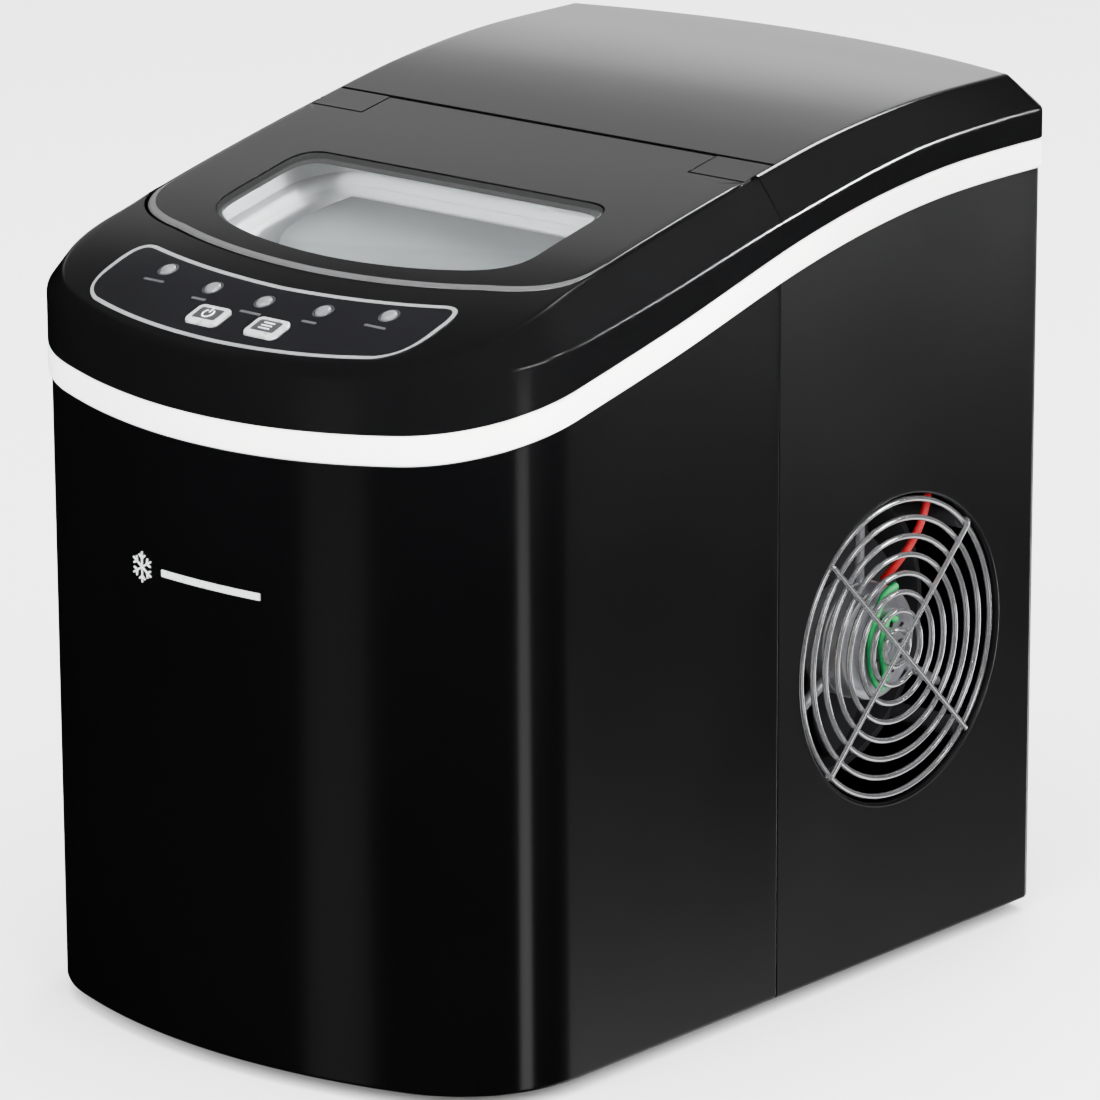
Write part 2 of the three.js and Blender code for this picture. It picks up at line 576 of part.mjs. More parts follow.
function basket() {
  const plan = (grow) => roundedRect(-BASKET.half - grow, BASKET.half + grow, BASKET.front - grow,
    BASKET.rear + grow, 16 + grow);
  const shell = cut(prism(plan(0), BASKET.floor, BASKET.top), prism(plan(-BASKET.wall), BASKET.floor + 2, FAR));
  const lip = cut(prism(plan(1.6), BASKET.top - 3, BASKET.top), prism(plan(-1), 0, FAR));
  const slots = [];
  for (let i = -3; i <= 3; i += 1) {
    slots.push(block(i * 20 - 2.5, i * 20 + 2.5, BASKET.front + 10, BASKET.rear - 10, 100, BASKET.floor + 5));
  }
  const grip = rod([-22, BASKET.front + 8, BASKET.top - 10], [22, BASKET.front + 8, BASKET.top - 10], 3, 8);
  const gripArms = [-20, 20].map((x) => block(x - 2, x + 2, BASKET.front + 1, BASKET.front + 8,
    BASKET.top - 12, BASKET.top - 8));
  add('ice_basket', cut(join(shell, lip, grip, ...gripArms), ...slots), PALE_GREY);
}

// ---- ice works -----------------------------------------------------------------------------

function evaporator() {
  const plate = block(-64, 64, ICE_AXIS.y - 16, ICE_AXIS.y + 16, FINGER.plate, FINGER.plate + 6);
  const profile = [[0, 0], [2.6, 0.7], [4, 2.4], [FINGER.radius, FINGER.radius],
    [FINGER.radius, FINGER.plate - FINGER.tip + 2], [0, FINGER.plate - FINGER.tip + 2]];
  const fingers = [];
  for (let i = 0; i < FINGER.columns; i += 1) {
    const x = (i - (FINGER.columns - 1) / 2) * FINGER.pitch;
    fingers.push(turned(profile, x, ICE_AXIS.y + FINGER.row, FINGER.tip, 8));
    if (i > 0) fingers.push(turned(profile, x - FINGER.pitch / 2, ICE_AXIS.y - FINGER.row, FINGER.tip, 8));
  }
  add('evaporator', join(plate, ...fingers), ALUMINIUM);
}

function evaporatorCover() {
  const outer = [[-62, 262], [-60, 268], [-52, 274.5], [-40, 278.5], [-26, 281], [-11, 282.5]];
  const inner = outer.map(([y, z], i) => [y + (i < 2 ? 2 : 0.6), z - (i < 2 ? 0 : 2)]).reverse();
  inner[0] = [-11, 280.5];
  const hood = sidePrism([...inner, ...outer].reverse(), -80, 80);
  const plan = roundedRect(-80, 80, -62, -11, 20);
  add('evaporator_cover', hood.intersect(prism(plan, 200, FAR)), PALE_GREY);
}

function iceTray() {
  const { y, z } = ICE_AXIS;
  const drum = rod([-TRAY.half, y, z], [TRAY.half, y, z], TRAY.outer, 32);
  const bore = rod([-TRAY.half + TRAY.end, y, z], [TRAY.half - TRAY.end, y, z], TRAY.inner, 32);
  const upper = block(-FAR, FAR, -FAR, FAR, z, FAR);
  const trough = cut(drum, bore, upper);
  const hubs = [-1, 1].map((side) => rod([side * (TRAY.half - TRAY.end), y, z], [side * (TRAY.half + 4), y, z],
    6, 20));
  const pivotHoles = rod([-TRAY.half - 1, y, z], [TRAY.half + 1, y, z], 2.6, 16);
  const shaft = rod([-TRAY.half - 3, y, z], [-106, y, z], 3, 12);
  const stub = rod([TRAY.half + 3, y, z], [94, y, z], 3, 12);
  add('water_tray', join(cut(join(trough, ...hubs), pivotHoles), shaft, stub), PALE_GREY);
}

function iceShovel() {
  const { y, z } = ICE_AXIS;
  const reach = 21.2;
  const half = TRAY.half - TRAY.end - 1;
  const bar = rod([-half, y + reach, z], [half, y + reach, z], 1.9, 12);
  const arms = [-1, 1].map((side) => block(Math.min(side * half, side * (half - 2)),
    Math.max(side * half, side * (half - 2)), y - 4, y + reach, z - 2, z + 2));
  const pins = [-1, 1].map((side) => rod([side * (half - 1), y, z], [side * (TRAY.half), y, z], 2.1, 12));
  add('ice_shovel', join(bar, ...arms, ...pins), PALE_GREY);
}

function trayMotor() {
  const { y, z } = ICE_AXIS;
  const box = block(-113.5, -99.5, y - 16, y + 14, z - 16, z + 16);
  const bore = rod([-107.5, y, z], [-90, y, z], 3.6, 20);
  const ears = [-1, 1].map((side) => block(-101.5, -99.5, y - 5, y + 5, z + side * 19 - 5, z + side * 19 + 5));
  add('tray_motor', cut(join(box, ...ears), bore), MATT_BLACK);
}

function waterSide() {
  const pumpBody = rod([38, -40, 27], [80, -40, 27], 15, 28);
  const head = rod([80, -40, 27], [90, -40, 27], 18, 28);
  const foot = block(44, 84, -54, -26, 12, 15);
  const inlet = rod([85, -40, 27], [85, -22, 27], 3.6, 12);
  add('water_pump', join(pumpBody, head, foot, inlet), MATT_BLACK);
  const route = [[85, -21.4, 27], [85, -8, 27.5], [86, 3, 42], [88, 7, 90], [88, 8, 160], [87, 8, 225],
    [85, 6, 246], [84, 2, 250], [84, -4.5, 250]];
  add('pump_hose', pipe(route, 3.6, 26), PALE_GREY);
  const pod = block(-94.1, -89.2, -98, -84, 250, 260);
  const eye = rod([-90, -91, 255], [-88.4, -91, 255], 2.4, 10);
  add('ice_full_sensor', join(pod, eye), MATT_BLACK);
}

function drain() {
  const sides = 24;
  const tube = rod([DRAIN.x, DRAIN.y, FOOT_HEIGHT + GAP], [DRAIN.x, DRAIN.y, TUB.floor - GAP], 8.6, sides);
  const bore = rod([DRAIN.x, DRAIN.y, 0], [DRAIN.x, DRAIN.y, TUB.floor + 5], 4.2, sides);
  add('drain_fitting', cut(tube, bore), MATT_BLACK);
  const cap = [[0, 0], [11.4, 0], [12.2, 0.8], [12.2, 3.3], [3.6, 3.3], [3.6, 12], [3, 13], [0, 13]];
  add('drain_cap', turned(cap, DRAIN.x, DRAIN.y, 1.4, sides), RUBBER);
}

// ---- cooling circuit -----------------------------------------------------------------------

function compressor() {
  const { x, y, radius, floor, top } = COMPRESSOR;
  const height = top - floor;
  const profile = [[0, 0], [radius - 16, 0], [radius - 5, 5], [radius - 1, 14], [radius - 1, height * 0.48],
    [radius + 2, height * 0.48], [radius + 2, height * 0.52], [radius - 1, height * 0.52],
    [radius - 1, height - 24], [radius - 7, height - 10], [radius - 22, height - 2], [0, height]];
  const stubs = [[20, 20], [-22, 14]].map(([dx, dy]) => rod(
    [x + dx, y + dy, top - 20], [x + dx, y + dy, top + 6], 3.4, 10));
  add('compressor', join(turned(profile, x, y, floor, 24), ...stubs), MATT_BLACK);
  const plate = block(x - 56, x + 56, y - 52, y + 52, floor - 3.3, floor - GAP);
  const legs = [[-48, -44], [48, -44], [-48, 44], [48, 44]].map(([dx, dy]) => rod(
    [x + dx, y + dy, FOOT_HEIGHT + 2.5 + GAP], [x + dx, y + dy, floor - 2], 7, 12));
  add('compressor_bracket', join(plate, ...legs), STEEL);
}

function condenser() {
  const y0 = FAN.y - 52;
  const y1 = FAN.y + 52;
  const z0 = FAN.z - 54;
  const z1 = FAN.z + 54;
  const core = block(34, 44, y0, y1, z0, z1);
  const fins = [];
  for (let i = 0; i <= CONDENSER_FINS; i += 1) {
    const y = y0 + (i * (y1 - y0 - 1.2)) / CONDENSER_FINS;
    fins.push(block(22, 56, y, y + 1.2, z0, z1));
  }
  add('condenser', join(core, ...fins), ALUMINIUM);
}

function fan() {
  const along = (x0, x1, radius, sides = 32) => rod([x0, FAN.y, FAN.z], [x1, FAN.y, FAN.z], radius, sides);
  const plate = block(57, 60, FAN.y - 58, FAN.y + 58, FAN.z - 58, FAN.z + 58);
  const tunnel = along(58, 84, 56.5, 32);
  const posts = [];
  const reach = FAN.post * Math.SQRT1_2;
  for (const [a, b] of [[1, 1], [1, -1], [-1, 1], [-1, -1]]) {
    const [y, z] = [FAN.y + a * reach, FAN.z + b * reach];
    posts.push(cut(rod([82, y, z], [114.4, y, z], 4, 10), rod([105, y, z], [120, y, z], 1.6, 8)));
  }
  add('fan_shroud', join(cut(join(plate, tunnel), along(50, 90, 54, 32)), ...posts), MATT_BLACK);
  const hub = cut(along(66, 82, 15, 20), along(76, 83, 2.5, 10));
  const blades = [];
  for (let i = 0; i < 5; i += 1) {
    const blade = new THREE.BoxGeometry(2, 38, 26).translate(0, 32, 0);
    blade.applyMatrix4(new THREE.Matrix4().makeRotationY(0.9));
    blade.applyMatrix4(new THREE.Matrix4().makeRotationX((2 * Math.PI * i) / 5));
    blades.push(toSolid(blade.translate(73.5, FAN.y, FAN.z)));
  }
  const rim = along(60, 90, 51, 32);
  add('fan_rotor', join(hub, join(...blades).intersect(rim)), MATT_BLACK);
  const motor = join(along(88, 108, 22, 24), along(107, 111.5, 15, 20), along(77, 89, 2, 10));
  const arms = [0, 1, 2].map((i) => {
    const angle = Math.PI / 2 + (i * 2 * Math.PI) / 3;
    const tip = (radius) => [98, FAN.y + radius * Math.cos(angle), FAN.z + radius * Math.sin(angle)];
    return rod(tip(18), tip(55), 2, 8);
  });
  add('fan_motor', join(motor, ...arms), ALUMINIUM);
}

function pipework() {
  const { x, y, top } = COMPRESSOR;
  add('discharge_line', pipe([[x + 20, y + 20, top + 6.4], [x + 20, y + 20, top + 22],
    [x + 34, y + 22, top + 34], [10, y + 24, top + 38], [30, y + 24, top + 36], [39, y + 22, top + 40],
    [39, y + 20, FAN.z + 55.2]], 2.6, 22, 6), COPPER);
  add('suction_line', pipe([[x - 22, y + 14, top + 7], [x - 22, y + 10, top + 24], [x - 18, y - 35, top + 38],
    [x - 10, 40, 215], [x - 6, 22, 256], [x, 6, 276], [x, -2.4, 277]], 2.6, 22, 6), COPPER);
  const shell = [[0, 0], [2.4, 0], [2.4, 6], [8, 14], [8, 56], [2.4, 64], [2.4, 70], [0, 70]];
  add('filter_drier', turned(shell, 8, 60, 170, 20), COPPER);
  add('capillary_tube', pipe([[8, 60, 240.4], [8, 58, 252], [14, 44, 262], [20, 26, 268], [22, 10, 274],
    [22, -2.4, 276]], 1.3, 18, 6), COPPER);
  const coil = turned([[0, 0], [11, 0], [11, 24], [0, 24]], 6, 96, 205, 20);
  const valve = rod([6, 96, 196], [6, 96, 236], 5, 16);
  add('hot_gas_valve', join(coil, valve, block(-6, 18, 90, 102, 190, 198)), STEEL);
}

function electrics() {
  const slope = (lift) => [[-162, crown(-162) - lift], [-122, crown(-122) - lift]];
  const [nearTop, farTop] = slope(9);
  const [nearLow, farLow] = slope(10.8);
  const card = sidePrism([nearLow, farLow, farTop, nearTop], -66, 66);
  const chip = block(-30, -18, -140, -130, crown(-135) - 16, crown(-135) - 9.6);
  add('control_board', join(card, chip), BOARD);
  const base = block(-104, -30, 60, 150, 196, 198);
  const parts = [block(-98, -74, 70, 100, 197, 222), block(-66, -50, 70, 96, 197, 214),
    block(-60, -40, 112, 140, 197, 208), rod([-88, 128, 197], [-88, 128, 220], 8, 16)];
  add('power_board', join(base, ...parts), BOARD);
  add('red_lead', pipe([[98, 88, 144], [104, 90, 152], [109, 94, 163], [109, 100, 175], [104, 106, 187],
    [90, 106, 202], [60, 104, 226], [6, 112, 238], [-30, 118, 230], [-50, 126, 210.5]], 1.5, 28, 6), RED);
  add('green_lead', pipe([[113.3, 76, 147], [113.3, 69, 144], [113.3, 63.5, 136], [113.3, 61.5, 126],
    [113.3, 63, 116], [113.3, 67.5, 109], [113.3, 70.5, 114], [113.3, 68.8, 122], [113.3, 68.5, 130],
    [113.3, 72, 136], [113.3, 76, 134]], 1.6, 30, 7), GREEN);
  const gland = [[0, 0], [9, 0], [9, 3], [6, 3], [6, 12], [0, 12]];
  const rearAt = REAR_Y - REAR_RADIUS + Math.sqrt(REAR_RADIUS ** 2 - CABLE.x ** 2);
  const body = turned(gland, 0, 0, 0, 20).transform(
    [1, 0, 0, 0, 0, 0, -1, 0, 0, 1, 0, 0, CABLE.x, rearAt - 6.9, CABLE.z, 1]);
  add('cable_gland', body, RUBBER);
}

bodyShells();
baseTray();
feet();
rearScrews();
trimBand();
fanGuard();
rearCover();
frontFrame();
lid();
hingePins();
controlPanel();
tub();
tubCollar();
insulation();
basket();
evaporator();
evaporatorCover();
iceTray();
iceShovel();
trayMotor();
waterSide();
drain();
compressor();
condenser();
fan();
pipework();
electrics();

export default machine;
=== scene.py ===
"""Looks of the countertop ice maker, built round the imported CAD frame. Metres, +Z up, front towards -Y."""

from math import acos, asin, atan2, cos, degrees, pi, radians, sin, sqrt

import bmesh
import bpy
from mathutils import Matrix, Vector


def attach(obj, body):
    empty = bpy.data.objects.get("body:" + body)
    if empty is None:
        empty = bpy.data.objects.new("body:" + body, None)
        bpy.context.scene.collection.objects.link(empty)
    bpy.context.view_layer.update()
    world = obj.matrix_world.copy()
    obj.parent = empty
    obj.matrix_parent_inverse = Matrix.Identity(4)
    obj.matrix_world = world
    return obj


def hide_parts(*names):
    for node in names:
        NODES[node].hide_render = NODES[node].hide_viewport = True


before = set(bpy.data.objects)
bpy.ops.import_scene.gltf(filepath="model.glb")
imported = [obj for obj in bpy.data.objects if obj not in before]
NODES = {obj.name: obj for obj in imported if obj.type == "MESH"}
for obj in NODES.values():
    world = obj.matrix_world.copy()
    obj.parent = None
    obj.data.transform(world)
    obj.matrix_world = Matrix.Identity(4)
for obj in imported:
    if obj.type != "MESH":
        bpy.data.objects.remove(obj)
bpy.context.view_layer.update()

# ---- driving sizes, in millimetres ----

MM = 0.001
HALF_WIDTH = 118
FRONT_Y = -175.6
FRONT_RADIUS = 246.3
FRONT_CORNER = 54.8
REAR_Y = 175.6
REAR_RADIUS = 358
REAR_CORNER = 5
PROUD = 1.3
BAND_HEIGHT = 11.2
BEVEL = 12
NOSE_BEVEL = 3.5
SEAM_FRONT = 1.2
SEAM_REAR = 1.8
GAP = 0.3
HINGE_Y = 3.5
HINGE_Z = 309.5
TONGUE_HALF = 80
TONGUE_Y = HINGE_Y + 7
LID_HALF = 106.7
FAN_Y, FAN_Z = 73.3, 124
FAN_HOLE = 59.6
GLAND_X, GLAND_Z = -72, 38
DRAIN_Y = -90
PALE_TOP = 290
SHEET, COVER_DEEP = 1.2, 2.4
SHARP = 50


# ---- small tools ----

def height_line(points):
    """Smooth height over y through a few (y, z) points."""
    last = len(points) - 1
    slopes = []
    for i in range(last + 1):
        y0, z0 = points[max(i - 1, 0)]
        y1, z1 = points[min(i + 1, last)]
        slopes.append((z1 - z0) / (y1 - y0))

    def height(y):
        y = min(max(y, points[0][0]), points[last][0])
        i = 0
        while i < last - 1 and y > points[i + 1][0]:
            i += 1
        span = points[i + 1][0] - points[i][0]
        t = (y - points[i][0]) / span
        rise = points[i + 1][1] - points[i][1]
        bend = slopes[i] * span * t * (1 - t) ** 2 - slopes[i + 1] * span * t ** 2 * (1 - t)
        return points[i][1] + rise * t * t * (3 - 2 * t) + bend

    return height


band_low = height_line([(-177, 232.5), (-120, 246.3), (-57, 261.3), (10, 279.4), (56, 288.4),
                        (104, 293.2), (177, 294)])
wall_top = height_line([(-177, 265.5), (-124, 273), (-69, 283.3), (3.5, 299.9), (75, 313),
                        (127, 316.3), (177, 316.5)])
crown = height_line([(-178, 265.5), (-130, 282.5), (-87, 295), (-44, 305.3), (0, 314.6),
                     (45, 323), (92, 328), (140, 329), (180, 329)])


def band_top(y):
    return band_low(y) + BAND_HEIGHT


def bevel_width(y):
    t = min(max((y - FRONT_Y) / 76, 0), 1)
    return NOSE_BEVEL + (BEVEL - NOSE_BEVEL) * t * t * (3 - 2 * t)


def mix(a, b, t):
    return a + (b - a) * t


def shares(count, first=0):
    """Even shares from 0 (or from the given step) up to 1."""
    return [k / count for k in range(first, count + 1)]


def turns(count):
    """Angles that share out a full circle."""
    return [2 * pi * i / count for i in range(count)]


def new_object(name, verts, faces, scale=MM):
    """A mesh object from vertices in millimetres, with doubled points joined and faces turned outwards."""
    mesh = bpy.data.meshes.new(name)
    mesh.from_pydata([Vector(v) * scale for v in verts], [], faces)
    tidy = bmesh.new()
    tidy.from_mesh(mesh)
    bmesh.ops.remove_doubles(tidy, verts=tidy.verts, dist=1e-6)
    bmesh.ops.recalc_face_normals(tidy, faces=tidy.faces)
    tidy.to_mesh(mesh)
    tidy.free()
    piece = bpy.data.objects.new(name, mesh)
    bpy.context.collection.objects.link(piece)
    return piece


def grid(rows, closed_rows=False, closed_columns=False):
    """Vertices and quads of a net of points, rows by columns."""
    count = len(rows[0])
    verts = [point for row in rows for point in row]
    faces = []
    for r in range(len(rows) if closed_rows else len(rows) - 1):
        for c in range(count if closed_columns else count - 1):
            a = r * count + c
            b = r * count + (c + 1) % count
            d = ((r + 1) % len(rows)) * count + c
            e = ((r + 1) % len(rows)) * count + (c + 1) % count
            faces.append((a, b, e, d))
    return verts, faces


def joined(*parts):
    """Several (verts, faces) put into one."""
    verts, faces = [], []
    for part_verts, part_faces in parts:
        start = len(verts)
        verts += part_verts
        faces += [tuple(start + i for i in face) for face in part_faces]
    return verts, faces


def weigh_normals(piece):
    piece.modifiers.new("shade", "WEIGHTED_NORMAL").keep_sharp = True


def smooth(piece, angle):
    """Rounded shading, with edges sharper than the angle left crisp."""
    for face in piece.data.polygons:
        face.use_smooth = True
    edges = bmesh.new()
    edges.from_mesh(piece.data)
    limit = radians(angle)
    for edge in edges.edges:
        edge.smooth = len(edge.link_faces) == 2 and edge.calc_face_angle(0) < limit
    edges.to_mesh(piece.data)
    edges.free()
    weigh_normals(piece)


def thicken(piece, depth, offset=-1):
    solid = piece.modifiers.new("thickness", "SOLIDIFY")
    solid.thickness = depth * MM
    solid.offset = offset
    solid.use_quality_normals = True


def soften(piece, width, segments=3, angle=40):
    """Small rounded edges."""
    bevel = piece.modifiers.new("soft_edges", "BEVEL")
    bevel.width = width * MM
    bevel.segments = segments
    bevel.limit_method = "ANGLE"
    bevel.angle_limit = radians(angle)


def bake_modifiers(piece):
    """Applies the modifiers, so that shading edges can be worked out on the final mesh."""
    depsgraph = bpy.context.evaluated_depsgraph_get()
    finished = bpy.data.meshes.new_from_object(piece.evaluated_get(depsgraph))
    piece.modifiers.clear()
    piece.data = finished


def round_off(piece, width, segments=3, angle=SHARP):
    soften(piece, width, segments, angle)
    bake_modifiers(piece)


def bore(piece, cutter):
    """Cuts the cutter's shape out of the piece and removes the cutter."""
    tool = piece.modifiers.new("cut", "BOOLEAN")
    tool.operation = "DIFFERENCE"
    tool.solver = "EXACT"
    tool.object = cutter
    bake_modifiers(piece)
    bpy.data.objects.remove(cutter)


def finish(piece, slot, surface, replaced=None, body="machine", angle=None):
    """Gives a piece its shading, its material and its place in the frame."""
    if angle:
        smooth(piece, angle)
    piece.data.materials.clear()
    piece.data.materials.append(surface)
    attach(piece, body)
    if replaced:
        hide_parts(replaced)


def add(name, shape, *look, **more):
    """A finished piece straight from its (verts, faces)."""
    finish(new_object(name, *shape), *look, **more)


# ---- the outline, seen from above ----

FRONT_CENTRE = FRONT_Y + FRONT_RADIUS
CORNER_X = HALF_WIDTH - FRONT_CORNER
CORNER_Y = FRONT_CENTRE - sqrt((FRONT_RADIUS - FRONT_CORNER) ** 2 - CORNER_X ** 2)
FRONT_TURN = atan2(CORNER_Y - FRONT_CENTRE, CORNER_X)
REAR_CENTRE = REAR_Y - REAR_RADIUS


def rear_corner(grow):
    """Centre and radius of the rear corner, for an outline moved out by grow."""
    small = max(REAR_CORNER + grow, 0.6)
    x = HALF_WIDTH + grow - small
    return x, REAR_CENTRE + sqrt((REAR_RADIUS + grow - small) ** 2 - x * x), small


def outline_point(kind, t, grow):
    """A point of the right-hand half: t runs from 0 to 1 along each stretch, front to rear."""
    if kind == "front":
        angle = mix(-pi / 2, FRONT_TURN, t)
        radius = FRONT_RADIUS + grow
        return radius * cos(angle), FRONT_CENTRE + radius * sin(angle)
    if kind == "corner":
        angle = mix(FRONT_TURN, 0, t)
        radius = FRONT_CORNER + grow
        return CORNER_X + radius * cos(angle), CORNER_Y + radius * sin(angle)
    x, y, small = rear_corner(grow)
    if kind == "front_side":
        return HALF_WIDTH + grow, mix(CORNER_Y, SEAM_FRONT, t)
    if kind == "rear_side":
        return HALF_WIDTH + grow, mix(SEAM_REAR, y, t)
    turn = atan2(y - REAR_CENTRE, x)
    if kind == "rear_corner":
        return x + small * cos(turn * t), y + small * sin(turn * t)
    angle = mix(turn, pi / 2, t)
    radius = REAR_RADIUS + grow
    return radius * cos(angle), REAR_CENTRE + radius * sin(angle)


STEPS = {"front": 24, "corner": 26, "front_side": 30, "rear_side": 40, "rear_corner": 8, "rear": 26}
FRONT_KINDS, REAR_KINDS = ["front", "corner", "front_side"], ["rear_side", "rear_corner", "rear"]


def stations(part):
    """Places along the outline as (kind, t, side), anticlockwise: part is front, rear or all."""
    right = []
    for kind in {"front": FRONT_KINDS, "rear": REAR_KINDS, "all": FRONT_KINDS + REAR_KINDS}[part]:
        right += [(kind, t, 1) for t in shares(STEPS[kind], 0 if kind in ("front", "rear_side") else 1)]
    left = [(kind, t, -1) for kind, t, _ in reversed(right)]
    if part == "front":
        return left[:-1] + right
    return right + (left[1:] if part == "rear" else left[1:-1])


def place(station, grow):
    """The plan point of a station, moved out by grow, which may depend on y."""
    kind, t, side = station
    if callable(grow):
        grow = grow(outline_point(kind, t, 0)[1])
    x, y = outline_point(kind, t, grow)
    return side * x, y


def section(station, outline):
    """Points of a cross-section at a station, from (grow, height) pairs."""
    row = []
    for grow, height in outline:
        x, y = place(station, grow)
        row.append((x, y, height(y) if callable(height) else height))
    return row


def rounded(points, index, radius, steps=4):
    """Replaces one corner of an open polyline of 3-D points by a curve that starts radius before it."""
    corner = Vector(points[index])
    back, on = Vector(points[index - 1]) - corner, Vector(points[index + 1]) - corner
    before = corner + back.normalized() * min(radius, back.length * 0.45)
    after = corner + on.normalized() * min(radius, on.length * 0.45)
    curve = [tuple(before * (1 - t) ** 2 + corner * 2 * t * (1 - t) + after * t * t) for t in shares(steps)]
    return points[:index] + curve + points[index + 1:]


# ---- plan loops ----

def bezier(points, steps):
    """Points of a curve of degree two or three, without its first point."""
    curve = []
    for t in shares(steps, 1):
        level = [Vector(p) for p in points]
        while len(level) > 1:
            level = [a.lerp(b, t) for a, b in zip(level, level[1:])]
        curve.append(tuple(level[0]))
    return curve


def straight(start, end, steps):
    return [(mix(start[0], end[0], t), mix(start[1], end[1], t)) for t in shares(steps, 1)]


def trace(path, *legs):
    """The path drawn on: a leg is one point (straight) or the next points of a curve, then its steps."""
    for *points, steps in legs:
        start = path[-1]
        path = path + (bezier([start, *points], steps) if points[1:] else straight(start, points[0], steps))
    return path


def mirrored(right):
    """A closed loop from its right half, which runs from the front middle to the rear middle."""
    left = [(-x, y) for x, y in reversed(right)]
    return right + [p for p in left if abs(p[0]) > 1e-6]


def lid_front(grow, steps=20):
    """Right half of the lid's bowed front, from its middle to the straight side."""
    half = LID_HALF + grow
    return trace([(0, -120 - grow)], ((42, -119.6 - grow), (half - 32, -110 - grow), steps),
                 ((half - 10, -106 - grow), (half, -98), (half, -84), steps))


def lid_loop():
    notch, side = HINGE_Y - 8.9, TONGUE_HALF - 0.4
    return mirrored(trace(lid_front(0), ((LID_HALF, notch), 44), ((side, notch), 8),
                          ((side, TONGUE_Y), 6), ((0, TONGUE_Y), 16)))


def window_loop(grow=0):
    half, rear = 76 + grow, -39.6 + grow
    return mirrored(trace([(0, -109 - grow)], ((34, -108.6 - grow), (60, -100 - grow), 16),
                          ((half - 8, -97 - grow), (half, -92), (half, -82), 12),
                          ((half, rear - 12), 8), ((half, rear), (half - 12, rear), 10), ((0, rear), 10)))


def panel_loop(grow=0):
    return mirrored(trace([(0, -169.5 - grow)], ((38, -169.2 - grow), (68, -160.5 - grow), 18),
                          ((77, -156 - grow), (79.5 + grow, -148), (79.5 + grow, -138), 10),
                          ((80 + grow, -128), (78 + grow, -122.5 + grow), (70, -124 + grow), 12),
                          ((40, -131 + grow), (0, -132 + grow), 18)))


def round_rect(x0, x1, y0, y1, radius, steps=6, side=1, grow=0):
    """A closed loop moved out by grow, with round corners and side steps along each straight stretch."""
    x0, x1, y0, y1, radius = x0 - grow, x1 + grow, y0 - grow, y1 + grow, radius + grow
    corners = [(x1 - radius, y0 + radius, -90), (x1 - radius, y1 - radius, 0),
               (x0 + radius, y1 - radius, 90), (x0 + radius, y0 + radius, 180)]
    loop = []
    for x, y, first in corners:
        arc = [(x + radius * cos(angle), y + radius * sin(angle))
               for angle in [radians(first + 90 * i / steps) for i in range(steps + 1)]]
        if side > 1 and loop:
            loop += straight(loop[-1], arc[0], side)[:-1]
        loop += arc
    if side > 1:
        loop += straight(loop[-1], loop[0], side)[:-1]
    return loop


def circle(x, y, radius, sides=32):
    return [(x + radius * cos(a), y + radius * sin(a)) for a in turns(sides)]


def inset(loop, distance):
    """The anticlockwise loop moved inwards."""
    moved = []
    for i, (x, y) in enumerate(loop):
        x0, y0 = loop[i - 1]
        x1, y1 = loop[(i + 1) % len(loop)]
        a = Vector((x - x0, y - y0)).normalized()
        b = Vector((x1 - x, y1 - y)).normalized()
        along = (a + b).normalized() if (a + b).length > 1e-6 else a
        stretch = 1 / max(sqrt((1 + a.dot(b)) / 2), 0.5)
        moved.append((x - along.y * distance * stretch, y + along.x * distance * stretch))
    return moved


def centroid(loop):
    return sum(p[0] for p in loop) / len(loop), sum(p[1] for p in loop) / len(loop)


def pad(loop, bottom, top, edge=0.3, steps=3, rings=5, dome=0):
    """A plate with rounded top edges; bottom and top are heights over y or plain numbers."""
    low = bottom if callable(bottom) else lambda y: bottom
    high = top if callable(top) else lambda y: top
    cx, cy = centroid(loop)
    rows = [[(cx, cy, low(cy))] * len(loop), [(x, y, low(y)) for x, y in loop]]
    for share in shares(steps):
        angle = share * pi / 2
        ring = inset(loop, edge * (1 - cos(angle)))
        rows.append([(x, y, high(y) - edge * (1 - sin(angle))) for x, y in ring])
    rim = inset(loop, edge)
    for t in shares(rings, 1):
        lift = dome * (1 - (1 - t) ** 2)
        rows.append([(mix(x, cx, t), mix(y, cy, t), high(mix(y, cy, t)) + lift) for x, y in rim])
    return grid(rows, closed_columns=True)


def moulding(loops_and_heights, closed=True):
    """A wall round a hollow: (loop, height) pairs give its section, in order; closed joins last to first."""
    rows = []
    for loop, height in loops_and_heights:
        rows.append([(x, y, height(y) if callable(height) else height) for x, y in loop])
    return grid(rows, closed_rows=closed, closed_columns=True)


def turned(profile, centre, axis="Z", sides=48):
    """A turned piece: profile is (radius, place along the axis) pairs; axis is X, Y or Z."""
    rows = []
    for radius, along in profile:
        row = []
        for angle in turns(sides):
            u, v = radius * cos(angle), radius * sin(angle)
            spot = {"Z": (u, v, along), "X": (along, u, v), "Y": (v, along, u)}[axis]
            row.append(tuple(a + b for a, b in zip(spot, centre)))
        rows.append(row)
    return grid(rows, closed_columns=True)


